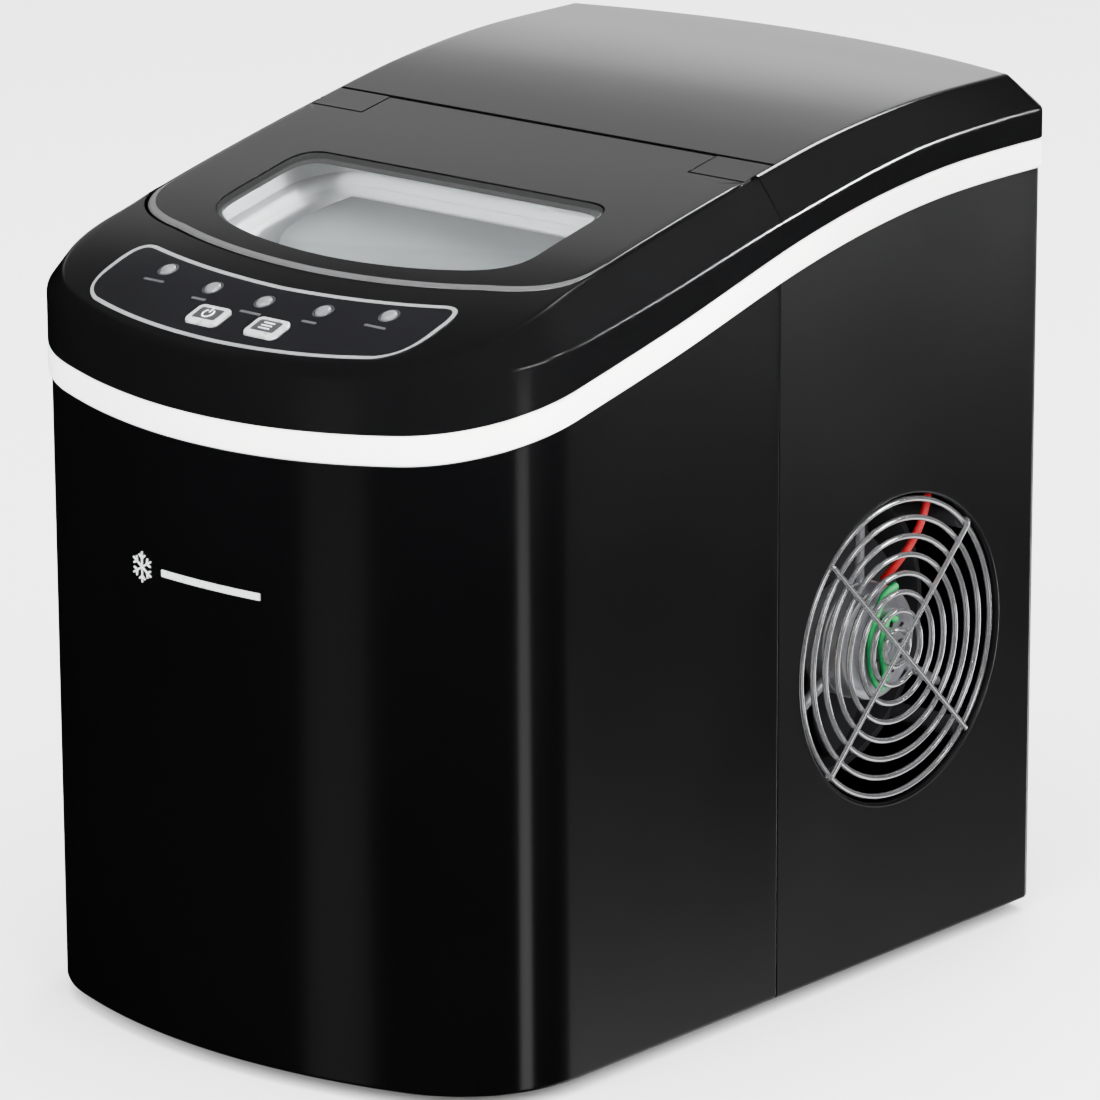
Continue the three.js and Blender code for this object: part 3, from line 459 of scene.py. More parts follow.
def wire(points, radius, sides=12, closed=False):
    """A round wire through points, as a mesh tube; open ends are rounded off."""
    path = [Vector(p) for p in points]
    rows = []
    count = len(path)
    for i, spot in enumerate(path):
        before = path[i - 1] if closed or i > 0 else spot
        after = path[(i + 1) % count] if closed or i < count - 1 else spot
        along = (after - before).normalized()
        side = along.orthogonal().normalized()
        if rows:
            side = (last_side - along * last_side.dot(along)).normalized()
        last_side = side
        other = along.cross(side)
        rows.append([tuple(spot + (side * cos(a) + other * sin(a)) * radius) for a in turns(sides)])
    if not closed:
        caps = []
        for end, inner in ((0, 1), (-1, -2)):
            reach = (path[end] - path[inner]).normalized() * radius * 0.5
            shoulder = [tuple(Vector(p).lerp(path[end], 0.4) + reach * 0.8) for p in rows[end]]
            caps.append([[tuple(path[end] + reach)] * sides, shoulder])
        rows = caps[0] + rows + caps[1][::-1]
    return grid(rows, closed_rows=closed, closed_columns=True)


def smooth_path(points, steps=6):
    """A Catmull-Rom curve through the points."""
    path = [Vector(p) for p in points]
    padded = [path[0] * 2 - path[1]] + path + [path[-1] * 2 - path[-2]]
    curve = [path[0]]
    for i in range(1, len(padded) - 2):
        p0, p1, p2, p3 = padded[i - 1:i + 3]
        for t in shares(steps, 1):
            curve.append(0.5 * ((2 * p1) + (p2 - p0) * t + (2 * p0 - 5 * p1 + 4 * p2 - p3) * t * t
                                + (3 * p1 - 3 * p2 + p3 - p0) * t ** 3))
    return curve


def block(x0, x1, y0, y1, z0, z1):
    verts = [(x, y, z) for x in (x0, x1) for y in (y0, y1) for z in (z0, z1)]
    faces = [(0, 1, 3, 2), (4, 6, 7, 5), (0, 4, 5, 1), (2, 3, 7, 6), (0, 2, 6, 4), (1, 5, 7, 3)]
    return verts, faces


# ---- materials ----

def new_material(name):
    surface = bpy.data.materials.new(name)
    surface.use_nodes = True
    return surface, surface.node_tree


def fill(tree, node, inputs):
    """Sets a node's inputs: another node's output is linked, anything else is a plain value."""
    for key, value in inputs.items():
        if isinstance(value, bpy.types.NodeSocket):
            tree.links.new(value, node.inputs[key])
        else:
            node.inputs[key].default_value = value
    return node


def add_node(tree, kind, inputs=None, **settings):
    node = tree.nodes.new("ShaderNode" + kind)
    for key, value in settings.items():
        setattr(node, key, value)
    return fill(tree, node, inputs or {})


def noise(tree, scale, detail):
    """Procedural noise in the object's own space."""
    where = add_node(tree, "TexCoord").outputs["Object"]
    return add_node(tree, "TexNoise", {"Vector": where, "Scale": scale, "Detail": detail}).outputs["Fac"]


def material(name, colour, roughness, vary, grain, bump=0, bump_grain=1500, metallic=0, specular=0.5,
             coat=0, subsurface=0):
    """A surface whose colour drifts by the share vary, over noise of scale grain, with gloss and relief."""
    surface, tree = new_material(name)
    drift = noise(tree, grain, 4)
    tone = add_node(tree, "MapRange", {"Value": drift, "From Min": 0.3, "From Max": 0.7})
    darker = (*[c * (1 - vary) for c in colour], 1)
    paler = (*[min(c * (1 + vary), 1) for c in colour], 1)
    tint = add_node(tree, "Mix", {"Factor": tone.outputs["Result"], "A": darker, "B": paler},
                    data_type="RGBA")
    gloss = add_node(tree, "MapRange", {
        "Value": drift, "To Min": roughness * 0.88, "To Max": roughness * 1.12})
    shader = fill(tree, tree.nodes["Principled BSDF"], {
        "Base Color": tint.outputs["Result"], "Roughness": gloss.outputs["Result"], "Metallic": metallic,
        "Specular IOR Level": specular, "Coat Weight": coat, "Coat Roughness": 0.08,
        "Subsurface Weight": subsurface, "Subsurface Scale": 0.002})
    if bump:
        fine = noise(tree, bump_grain, 3)
        relief = add_node(tree, "Bump", {"Strength": bump, "Distance": 0.0002, "Height": fine})
        tree.links.new(relief.outputs["Normal"], shader.inputs["Normal"])
    return surface


def drawn_out(surface, amount):
    """Stretches a surface's highlights up and down, as on rolled sheet that wraps round the body."""
    tree = surface.node_tree
    tangent = add_node(tree, "Tangent", direction_type="RADIAL", axis="Z")
    fill(tree, tree.nodes["Principled BSDF"], {
        "Anisotropic": amount, "Anisotropic Rotation": 0.25, "Tangent": tangent.outputs["Tangent"]})


def pane_material(name, tint):
    """Clear sheet: it lets light straight through and mirrors at a slant, with faint smears."""
    surface, tree = new_material(name)
    tree.nodes.remove(tree.nodes["Principled BSDF"])
    smear = add_node(tree, "MapRange", {"Value": noise(tree, 30, 2), "To Min": 0.97, "To Max": 1})
    colour = add_node(tree, "Mix", {"Factor": 1, "A": (*tint, 1), "B": smear.outputs["Result"]},
                      data_type="RGBA", blend_type="MULTIPLY")
    clear = add_node(tree, "BsdfTransparent", {"Color": colour.outputs["Result"]})
    mirror = add_node(tree, "BsdfGlossy", {"Roughness": 0.04})
    slant = add_node(tree, "LayerWeight", {"Blend": 0.5})
    steep = add_node(tree, "Math", {0: slant.outputs["Facing"], 1: 4}, operation="POWER")
    share = add_node(tree, "Math", {0: steep.outputs["Value"], 1: 0.6, 2: 0.02}, operation="MULTIPLY_ADD")
    both = add_node(tree, "MixShader", {
        0: share.outputs["Value"], 1: clear.outputs["BSDF"], 2: mirror.outputs["BSDF"]})
    fill(tree, tree.nodes["Material Output"], {"Surface": both.outputs["Shader"]})
    return surface


ENAMEL = material("front_enamel", (0.0008, 0.0008, 0.0009), 0.2, 0.1, 14, specular=0.45)
drawn_out(ENAMEL, 0.85)
SATIN = material("side_enamel", (0.0022, 0.0022, 0.0024), 0.3, 0.1, 18, 0.03, 2600, specular=0.32)
drawn_out(SATIN, 0.5)
COVER = material("cover_black", (0.0014, 0.0014, 0.0015), 0.17, 0.08, 20, specular=0.45)
# A grey much lighter than the cover, used only for the strip along the lid's front edge: a painted
# highlight.
EDGE_PAINTED_HIGHLIGHT = material("lid_edge_painted_highlight", (0.036, 0.036, 0.037), 0.4, 0.06, 30, specular=0.4)
OVERLAY = material("overlay_black", (0.0035, 0.0035, 0.004), 0.15, 0.08, 30, specular=0.26)
WHITE = material("trim_white", (0.83, 0.83, 0.82), 0.34, 0.02, 30, specular=0.4, subsurface=0.05)
CHROME = material("guard_chrome", (0.6, 0.6, 0.62), 0.14, 0.05, 300, metallic=0.93, specular=0.8)
ZINC = material("zinc_plate", (0.6, 0.6, 0.62), 0.34, 0.12, 260, 0.1, metallic=1)
ALUMINIUM = material("aluminium", (0.6, 0.6, 0.64), 0.3, 0.08, 200, 0.1, metallic=0.88)
COPPER = material("copper", (0.66, 0.32, 0.19), 0.3, 0.14, 160, 0.06, metallic=1)
RUBBER = material("rubber_black", (0.018, 0.018, 0.018), 0.7, 0.12, 220, 0.25, specular=0.3)
DARK = material("moulding_black", (0.02, 0.02, 0.022), 0.5, 0.1, 90, 0.12, specular=0.35)
PALE = material("moulding_pale", (0.8, 0.81, 0.82), 0.36, 0.03, 40, 0.03, specular=0.4)
# A darker copy of the pale moulding for the collar and ledges inside the tub: painted shade.
PALE_PAINTED_SHADE = material("pale_moulding_painted_shade", (0.64, 0.65, 0.66), 0.34, 0.05, 28, 0.03, specular=0.45)
# A much darker copy of the pale moulding for the evaporator hood under the lid: painted shade.
PALE_DEEP_PAINTED_SHADE = material("pale_moulding_deep_painted_shade", (0.2, 0.203, 0.206), 0.36, 0.05, 28, 0.03, specular=0.4)
FOAM = material("foam_cream", (0.72, 0.66, 0.48), 0.9, 0.12, 240, 0.7, 900, specular=0.1)
BOARD = material("board_green", (0.02, 0.13, 0.06), 0.4, 0.3, 500, 0.15, specular=0.45)
LENS = material("lamp_grey", (0.075, 0.078, 0.08), 0.3, 0.08, 400, coat=0.2)
SILVER = material("button_silver", (0.68, 0.69, 0.7), 0.28, 0.04, 260, 0.05, metallic=0.35)
PRINT = material("print_silver", (0.2, 0.205, 0.21), 0.3, 0.06, 300, metallic=0.4)
KEY_SILVER = material("key_silver", (0.36, 0.365, 0.37), 0.28, 0.04, 260, 0.05, metallic=0.35)
# Dark print on the panel and buttons; on the motor cap the same dark strips are painted shade in the vent
# openings.
DARK_PRINT_AND_SHADE = material("print_and_painted_shade_dark", (0.016, 0.016, 0.018), 0.5, 0.1, 400, specular=0.25)
LABEL = material("print_grey", (0.03, 0.03, 0.032), 0.4, 0.1, 400)
RED = material("sleeve_red", (0.38, 0.008, 0.012), 0.36, 0.1, 300, 0.1)
GREEN = material("sleeve_green", (0.008, 0.26, 0.07), 0.36, 0.1, 300, 0.1)
HOSE = material("hose_milky", (0.62, 0.64, 0.63), 0.4, 0.05, 120, subsurface=0.2)
PANE = pane_material("window_clear", (0.93, 0.95, 0.95))


# ---- sheets, cutters and places ----

def face_away(piece, centre):
    """Turns an open sheet's faces away from a point, given in millimetres."""
    middle = Vector(centre) * MM
    total = sum((face.center - middle).dot(face.normal) * face.area for face in piece.data.polygons)
    if total < 0:
        piece.data.flip_normals()


def tool_block(x0, x1, y0, y1, z0, z1):
    return new_object("tool", *block(x0, x1, y0, y1, z0, z1))


def tool_rod(axis, centre, near, far, radius, sides=48):
    """A round cutter with flat ends; near and far are places along its axis."""
    profile = [(0, near), (radius, near), (radius, far), (0, far)]
    return new_object("tool", *turned(profile, centre, axis, sides))


def along_ray(loop, centre, angle):
    """Where a ray from the centre meets the loop, seen from above."""
    dx, dy = cos(angle), sin(angle)
    best = None
    for (x0, y0), (x1, y1) in zip(loop, loop[1:] + loop[:1]):
        ex, ey = x1 - x0, y1 - y0
        cross = dx * ey - dy * ex
        if abs(cross) < 1e-12:
            continue
        reach = ((x0 - centre[0]) * ey - (y0 - centre[1]) * ex) / cross
        share = ((x0 - centre[0]) * dy - (y0 - centre[1]) * dx) / cross
        if reach > 0 and -1e-6 <= share <= 1 + 1e-6 and (best is None or reach < best):
            best = reach
    return centre[0] + dx * best, centre[1] + dy * best


def plate(name, shape, centre, depth):
    """An open sheet given its thickness inwards; centre is a point on its inner side."""
    piece = new_object(name, *shape)
    face_away(piece, centre)
    thicken(piece, depth)
    bake_modifiers(piece)
    return piece


def on_top(x, y):
    return x, y, crown(y)


def under_crown(depth):
    return lambda y: crown(y) - depth


def around_fan(x, radius, angle):
    return x, FAN_Y + radius * cos(angle), FAN_Z + radius * sin(angle)


# ---- body shells ----

HEM = [(-3.2, 5), (-1.4, 5.05), (-0.45, 5.5), (0, 6.6)]


def shell_sheet(name, part):
    """The painted sheet of one half of the body, with a rolled lower edge."""
    rows = []
    for station in stations(part):
        top = band_low(place(station, 0)[1]) - GAP
        rows.append(section(station, HEM + [(0, 60), (0, 180), (0, top)]))
    return plate(name, grid(rows), (0, 0, 150), SHEET)


front = shell_sheet("front_panel", "front")
round_off(front, 0.3, 2, 40)
finish(front, "front_paint", ENAMEL, "front_shell", angle=30)

SLOTS = [(y, 76 + row * 9) for row in range(12) for y in (48, 98)]
SLOT_LONG, SLOT_HIGH = 38, 3.6
rear = shell_sheet("rear_panel", "rear")
bore(rear, tool_rod("X", (0, FAN_Y, FAN_Z), 90, 140, FAN_HOLE, 96))
for y, z in SLOTS:
    bore(rear, tool_block(-123, -113, y, y + SLOT_LONG, z, z + SLOT_HIGH))
bore(rear, tool_rod("Y", (GLAND_X, 0, GLAND_Z), 150, 190, 6.4, 40))
finish(rear, "side_satin", SATIN, "rear_shell", angle=30)

# The rear shell's edges run on behind the front shell, so that the seams show no gap.
for side in (-1, 1):
    x0, x1 = sorted((side * 115.9, side * 116.7))
    add("seam_overlap", block(x0, x1, -4, 7, 8, band_low(-4) - 3), "side_satin", SATIN)

# The rolled edge round the fan opening.
LIP = [
    (60.4, 118.02), (60, 118.15), (59.4, 118.1), (59, 117.6), (58.9, 116.6), (58.9, 115.6), (59.6, 115.6),
    (59.7, 117.2), (60.4, 117.6)
]
add("fan_opening_edge", grid([[around_fan(along, radius, a) for radius, along in LIP] for a in turns(128)],
                             closed_rows=True, closed_columns=True), "side_satin", SATIN, angle=50)

# Slats set back behind each inlet slot, leaning outwards at the bottom.
slats = []
for y, z in SLOTS:
    slat = [(-117.4, z - 0.2), (-116.8, z - 0.9), (-112.2, z + 3.4), (-112.8, z + 4.2)]
    slats.append(grid([[(x, end, height) for x, height in slat] for end in (y + 0.5, y + SLOT_LONG - 0.5)],
                      closed_columns=True))
louvres = new_object("inlet_slats", *joined(*slats))
thicken(louvres, 0.3, 0)
finish(louvres, "side_satin", SATIN)


# ---- trim band ----

BAND_EDGE = [(-5, 0), (0.1, 0), (0.75, 0.2), (1.15, 0.7), (1.3, 1.5)]
BAND_SECTION = BAND_EDGE + [(1.42, BAND_HEIGHT / 2)]
BAND_SECTION += [(grow, BAND_HEIGHT - rise) for grow, rise in reversed(BAND_EDGE)]
band_rows = []
for station in stations("all"):
    lift = band_low(place(station, 0)[1])
    band_rows.append(section(station, [(grow, lift + rise) for grow, rise in BAND_SECTION]))
add("trim_strip", grid(band_rows, closed_rows=True, closed_columns=True),
    "white_trim", WHITE, "trim_band", angle=50)


# ---- cover ----

OPEN_HALF = LID_HALF + 1.1
STRAIGHT_FROM = -84
OPENING = mirrored(lid_front(1.1, 40) + straight((OPEN_HALF, STRAIGHT_FROM), (OPEN_HALF, 60), 20))
SIDE_RIM = HALF_WIDTH + PROUD - BEVEL
RIM_ROUND = CREASE_ROUND = 1.5
ACROSS = 8


def cover_rim(station):
    """The upper edge of the cover's sloping face at a station."""
    x, y = place(station, lambda depth: PROUD - bevel_width(depth))
    return x, y, crown(y)


def cover_wall(station, rim, inner, reach=RIM_ROUND):
    """Wall and slope at a station up to its rim, with rounded creases; inner is where the top goes on."""
    points = section(station, [(PROUD, lambda y: band_top(y) + GAP), (PROUD, wall_top)]) + [rim, inner]
    return rounded(rounded(points, 2, reach), 1, CREASE_ROUND)[:-1]


def top_strip(start, end, count):
    """Points across the cover's curved top, after start and up to end."""
    return [on_top(mix(start[0], end[0], t), mix(start[1], end[1], t)) for t in shares(count, 1)]


frame_rows = []
for station in stations("front"):
    y = place(station, 0)[1]
    rim = cover_rim(station)
    if y > STRAIGHT_FROM:
        inner = (station[2] * OPEN_HALF, y)
    else:
        inner = along_ray(OPENING, (0, -60), atan2(rim[1] + 60, rim[0]))
    if abs(inner[0]) > abs(rim[0]):
        share = (HALF_WIDTH + PROUD - abs(inner[0])) / bevel_width(y)
        rim = (inner[0], y, mix(wall_top(y), crown(y), share))
        frame_rows.append(cover_wall(station, rim, rim) + [rim] * ACROSS)
    else:
        wall = cover_wall(station, rim, (*inner, crown(inner[1])))
        frame_rows.append(wall + top_strip(wall[-1], inner, ACROSS))
cover_front = plate("cover_front", grid(frame_rows), (0, -60, 200), COVER_DEEP)
bore(cover_front, new_object("tool", *pad(panel_loop(-4), 240, 300, 0.1)))
round_off(cover_front, 0.45)
finish(cover_front, "cover_gloss", COVER, "front_frame", angle=30)

# The rear of the cover: its top is a net of squares that stops short of the lid's tongue.
TONGUE_EDGE = 11.4
EAR_RADIUS, CURL_RADIUS, CURL_ROOM = 9, 10, 10.9
TONGUE_ROOM = TONGUE_HALF + 0.5
TOP_HALF = SIDE_RIM - RIM_ROUND
TOP_END = place(("rear_side", 1, 1), PROUD - BEVEL)[1]
BACK_STEPS = 6


def rear_stations():
    """The rear stations, with one more where the tongue's room ends and one in line with its sides."""
    first, last = (place(("rear_side", t, 1), 0)[1] for t in (0, 1))
    x, y, _ = rear_corner(PROUD - BEVEL)
    turn = atan2(y - REAR_CENTRE, x)
    in_line = acos(TONGUE_ROOM / (REAR_RADIUS + PROUD - BEVEL))
    right = [station for station in stations("rear") if station[2] == 1]
    right += [("rear_side", (TONGUE_EDGE - first) / (last - first), 1),
              ("rear", (in_line - turn) / (pi / 2 - turn), 1)]
    right.sort(key=lambda station: (REAR_KINDS.index(station[0]), station[1]))
    left = [(kind, t, -1) for kind, t, _ in reversed(right)]
    return right + left[1:]


wall_rows, back_rows, columns, depths = [], [], [], []
for station in rear_stations():
    kind, t, side = station
    rim = cover_rim(station)
    if kind == "rear":
        wall = cover_wall(station, rim, on_top(rim[0], rim[1] - 20))
        back_rows.append([wall[-1]] + [on_top(rim[0], mix(wall[-1][1], TOP_END, t))
                                       for t in shares(BACK_STEPS, 1)])
        columns.append(rim[0])
    elif kind == "rear_side" and t < 1:
        wall = cover_wall(station, rim, on_top(0, rim[1]))
    else:
        corner = Vector(on_top(side * TOP_HALF, TOP_END))
        inwards = corner - Vector(rim)
        wall = cover_wall(station, rim, tuple(Vector(rim) + inwards * 9), inwards.length)
    if kind == "rear_side" and side == 1:
        depths.append(rim[1])
    wall_rows.append(wall)
columns = [TOP_HALF] + columns + [-TOP_HALF]
right_end, left_end = ([on_top(x, TOP_END)] * (BACK_STEPS + 1) for x in (TOP_HALF, -TOP_HALF))
back_rows = [right_end] + back_rows + [left_end]
ear_columns = [x for x in columns if x > TONGUE_ROOM - 0.01]
top_rows = [[on_top(x, y) for x in columns] for y in depths if y > TONGUE_EDGE - 0.01]


def ear(side):
    """The top beside the tongue; it reaches over the hinge and is rounded about it at its front."""
    places = [y for y in reversed(depths) if y < TONGUE_EDGE + 0.01] + [-0.5, -2.5, -4.4]
    rows = [[on_top(side * x, y) for x in ear_columns] for y in places]
    first = degrees(atan2(crown(-4.4) - HINGE_Z, -4.4 - HINGE_Y))
    for turn in [radians(mix(first, 225, t)) for t in shares(8, 1)]:
        y, z = HINGE_Y + EAR_RADIUS * cos(turn), HINGE_Z + EAR_RADIUS * sin(turn)
        rows.append([(side * x, y, z) for x in ear_columns])
    return grid(rows)


rear_parts = [grid(wall_rows), grid(back_rows), grid(top_rows), ear(1), ear(-1)]
cover_rear = plate("cover_rear", joined(*rear_parts), (0, 60, 200), COVER_DEEP)
for vertex in cover_rear.data.vertices:
    x, y, z = vertex.co / MM
    room = CURL_ROOM ** 2 - (z - HINGE_Z) ** 2
    if abs(x) < TONGUE_ROOM - 0.05 and y > HINGE_Y and room > 0:
        vertex.co.y = max(y, HINGE_Y + sqrt(room)) * MM
round_off(cover_rear, 0.4)
finish(cover_rear, "cover_gloss", COVER, "rear_cover", angle=30)


# ---- lid ----

LID_LOOP = lid_loop()
WINDOW_LOOP = window_loop()
LID_ACROSS = 7
LID_DEEP, LID_ROLL = 2.8, 1.5
BEAD_PROUD, BEAD_WIDE = 0.06, 1.6


def lid_roll(y):
    """How far the lid's edge is rounded: not at all beside the hinge."""
    return LID_ROLL * min(max((HINGE_Y - 9.5 - y) / 4, 0), 1) if abs(y - TONGUE_Y) > 0.1 else 0


def from_edge(pair, distance):
    """The plan point at a distance inwards from the lid's edge."""
    (x, y), (inner_x, inner_y) = pair
    return mix(x, inner_x, distance), mix(y, inner_y, distance)


LID_EDGE = list(zip(LID_LOOP, inset(LID_LOOP, 1)))
lid_rows, curl_rows = [], []
for pair in LID_EDGE:
    x, y = pair[0]
    hole = along_ray(WINDOW_LOOP, (0, -65), atan2(y + 65, x))
    roll = lid_roll(y)
    row = [(x, y, crown(y) - (LID_DEEP if roll else 0))]
    for turn in [t * pi / 2 for t in shares(5)]:
        px, py = from_edge(pair, roll * (1 - cos(turn)))
        row.append((px, py, crown(py) - roll * (1 - sin(turn))))
    lid_rows.append(row + top_strip(row[-1], hole, LID_ACROSS))
    if abs(y - TONGUE_Y) < 1e-6:
        first = degrees(atan2(crown(y) - HINGE_Z, y - HINGE_Y))
        row = [on_top(x, y)]
        for turn in [radians(mix(first, -25, t)) for t in shares(8, 1)]:
            row.append((x, HINGE_Y + CURL_RADIUS * cos(turn), HINGE_Z + CURL_RADIUS * sin(turn)))
        curl_rows.append(row)
lid = plate("lid_shell", joined(grid(lid_rows, closed_rows=True), grid(curl_rows)), (0, -50, 200), LID_DEEP)
round_off(lid, 0.6)
finish(lid, "cover_gloss", COVER, "lid_frame", body="lid", angle=30)

# A lighter strip along the rounded front edge of the lid: a painted highlight where that edge would catch
# light.
bead_rows = []
for pair in [pair for pair in LID_EDGE if pair[0][1] <= -78]:
    x, y = pair[0]
    row = []
    share = min(max((-79 - y) / 18, 0), 1)
    reach = LID_ROLL + BEAD_PROUD
    for t in shares(5, 1):
        turn = radians(mix(mix(85, 30, share), 90, t))
        px, py = from_edge(pair, LID_ROLL - reach * cos(turn))
        row.append((px, py, crown(py) - LID_ROLL + reach * sin(turn)))
    px, py = from_edge(pair, LID_ROLL + BEAD_WIDE * share)
    row.append((px, py, crown(py) + BEAD_PROUD))
    bead_rows.append((atan2(y + 60, x), row))
bead_rows = [row for _, row in sorted(bead_rows, key=lambda item: item[0])]
bead = new_object("lid_edge_painted_highlight_strip", *grid(bead_rows))
face_away(bead, (0, -60, 200))
finish(bead, "cover_gloss", EDGE_PAINTED_HIGHLIGHT, body="lid", angle=40)

SEAT = [(1.5, 1.9), (-2.5, 1.9), (-2.5, 3.4), (1.5, 3.4)]
seat = [(window_loop(grow), under_crown(depth)) for grow, depth in SEAT]
add("pane_seat", moulding(seat), "cover_gloss", COVER, body="lid")
add("window_pane", pad(window_loop(-0.35), under_crown(1.6), under_crown(0.35), 0.25),
    "clear_pane", PANE, "lid_window", body="lid", angle=40)

KNUCKLE = [(2.05, 58), (4, 58), (4.4, 58.6), (4.4, 78.6), (4, 79.2), (2.05, 79.2)]
for side in (-1, 1):
    profile = [(radius, side * along) for radius, along in KNUCKLE]
    add("hinge_knuckle", turned(profile, (0, HINGE_Y, HINGE_Z), "X", 32),
        "cover_gloss", COVER, body="lid", angle=40)


# ---- control panel ----

PANEL_TOP = -0.22
PRINT_TOP = PANEL_TOP - 0.08
LAMPS = [(x, -142.5 + 6.5 * (x / 54) ** 2) for x in (-54, -27, 0, 27, 54)]
LAMP_HOLE = 3.3
LAMP_DOME = [(3, -3), (3, 0.1), (2.9, 0.45), (2.6, 0.72), (2, 0.95), (1, 1.12), (0, 1.18)]
BUTTONS = {"power_button": (-14.3, "power_key"), "select_button": (14.3, "select_key")}
BUTTON_Y, BUTTON_WIDE, BUTTON_DEEP, BUTTON_ROUND = -156.5, 7.75, 5.25, 2.5


def button_loop(x, grow=0):
    return round_rect(x - BUTTON_WIDE, x + BUTTON_WIDE, BUTTON_Y - BUTTON_DEEP, BUTTON_Y + BUTTON_DEEP,
                      BUTTON_ROUND, 8, grow=grow)


overlay = new_object("panel_sheet", *pad(panel_loop(), under_crown(1), under_crown(PANEL_TOP), 0.25, 3, 16))
for x, y in LAMPS:
    bore(overlay, tool_rod("Z", (x, y, 0), 240, 300, LAMP_HOLE, 40))
for x, _ in BUTTONS.values():
    bore(overlay, new_object("tool", *pad(button_loop(x, 0.35), 240, 300, 0.1)))
finish(overlay, "front_gloss", OVERLAY, "panel_overlay", angle=30)


def ribbon(outer, inner, low, high):
    """A thin printed or inlaid line between two loops."""
    return moulding([(outer, under_crown(low)), (outer, under_crown(high)),
                     (inner, under_crown(high)), (inner, under_crown(low))])


add("panel_outline", ribbon(panel_loop(-0.25), panel_loop(-1.9), 0.2, PANEL_TOP - 0.12),
    "front_gloss", PRINT, angle=40)

for number, (x, y) in enumerate(LAMPS, 1):
    rows = [[(x, y, crown(y) - 3)] * 36]
    for radius, lift in LAMP_DOME:
        rows.append([(px, py, crown(py) + lift) for px, py in circle(x, y, radius, 36)])
    add("lamp_dome_%d" % number, grid(rows, closed_columns=True),
        "lamp_lens", LENS, "indicator_lamp_%d" % number, angle=40)
    ring = ribbon(circle(x, y, LAMP_HOLE + 0.6, 48), circle(x, y, LAMP_HOLE, 48), 0.2, PRINT_TOP)
    add("lamp_ring_%d" % number, ring, "front_gloss", DARK_PRINT_AND_SHADE, angle=40)
    half = 5 if number % 2 else 3.4
    dash = round_rect(x - half, x + half, y - 8, y - 6.8, 0.5)
    label = pad(dash, under_crown(0.2), under_crown(PRINT_TOP), 0.05)
    add("lamp_label_%d" % number, label, "front_gloss", LABEL)

for name, (x, body) in BUTTONS.items():
    add(name + "_cap", pad(button_loop(x), under_crown(3), under_crown(-1.2), 0.7, 5, 6, 0.15),
        "silver_button", KEY_SILVER, name, body=body, angle=35)
    inlay = round_rect(x - 5.5, x + 5.5, BUTTON_Y - 3.2, BUTTON_Y + 3.2, 0.9)
    add(name + "_inlay", pad(inlay, under_crown(-0.9), under_crown(-1.38), 0.12),
        "silver_button", DARK_PRINT_AND_SHADE, body=body, angle=40)
    if name == "power_button":
        angles = [radians(mix(130, 410, t)) for t in shares(20)]
        arc = [(x + 2.2 * cos(a), BUTTON_Y + 2.2 * sin(a)) for a in angles]
        strokes = [arc, [(x, BUTTON_Y + 0.6), (x, BUTTON_Y + 3.2)]]
    else:
        strokes = [[(x - 2.4, BUTTON_Y + d), (x + 2.4, BUTTON_Y + d)] for d in (-1.6, 0, 1.6)]
    lines = [wire([(px, py, crown(py) + 1.42) for px, py in stroke], 0.3, 8) for stroke in strokes]
    add(name + "_mark", joined(*lines), "silver_button", SILVER, body=body, angle=60)


# ---- fan behind its guard ----

FAN_CENTRE = (0, FAN_Y, FAN_Z)
RING_X, SPOKE_X = 116.2, 118.1
GUARD_RADIUS, GUARD_WIRE, POST_RADIUS = 56.6, 1.1, 58.2


def spoke_end(angle):
    """The bent end of a spoke, from inside the machine out to its straight run."""
    points = [around_fan(x, POST_RADIUS, angle) for x in (110, SPOKE_X - 2)]
    points += [around_fan(SPOKE_X - 2 * (1 - sin(a)), POST_RADIUS - 2 * (1 - cos(a)), angle)
               for a in (0.4, 0.8, 1.2, pi / 2)]
    return points


guard_parts = []
for i in range(8):
    radius = GUARD_RADIUS * (1 - i / 8)
    ring = [around_fan(RING_X, radius, a) for a in turns(120)]
    guard_parts.append(wire(ring, GUARD_WIRE, 14, closed=True))
for angle in (pi / 4, 3 * pi / 4):
    guard_parts.append(wire(spoke_end(angle) + spoke_end(angle + pi)[::-1], GUARD_WIRE - 0.1, 14))
add("guard_wires", joined(*guard_parts), "chrome_wire", CHROME, "fan_guard", angle=50)

CAN = [
    (0, 88), (20.4, 88), (21.6, 88.6), (22, 89.6), (22, 96.6), (22.5, 97), (22.5, 98.6), (22, 99),
    (22, 105.6), (21.4, 107.2), (19.8, 108), (15.4, 108.1), (15, 108.6), (15, 110.4), (14.2, 111.3),
    (12.6, 111.5), (5.4, 111.5), (4.8, 111.2), (4.6, 110.2), (2.6, 110), (2.2, 110.8), (0, 111)
]
motor_parts = [turned(CAN, FAN_CENTRE, "X", 72),
               turned([(0, 77), (2, 77.2), (2, 88.5)], FAN_CENTRE, "X", 24)]
for turn in turns(3):
    motor_parts.append(wire([around_fan(98, radius, pi / 2 + turn) for radius in (18, 55)], 2, 20))
add("fan_motor_can", joined(*motor_parts), "bare_aluminium", ALUMINIUM, "fan_motor", angle=35)
# Dark strips on the closed motor cap in place of vent openings: painted shade.
vent_shade_strips = [wire([around_fan(111.55, radius, a) for radius in (7.2, 11.4)], 0.75, 10) for a in turns(10)]
add("motor_vent_painted_shade", joined(*vent_shade_strips), "dark_moulding", DARK_PRINT_AND_SHADE, angle=60)

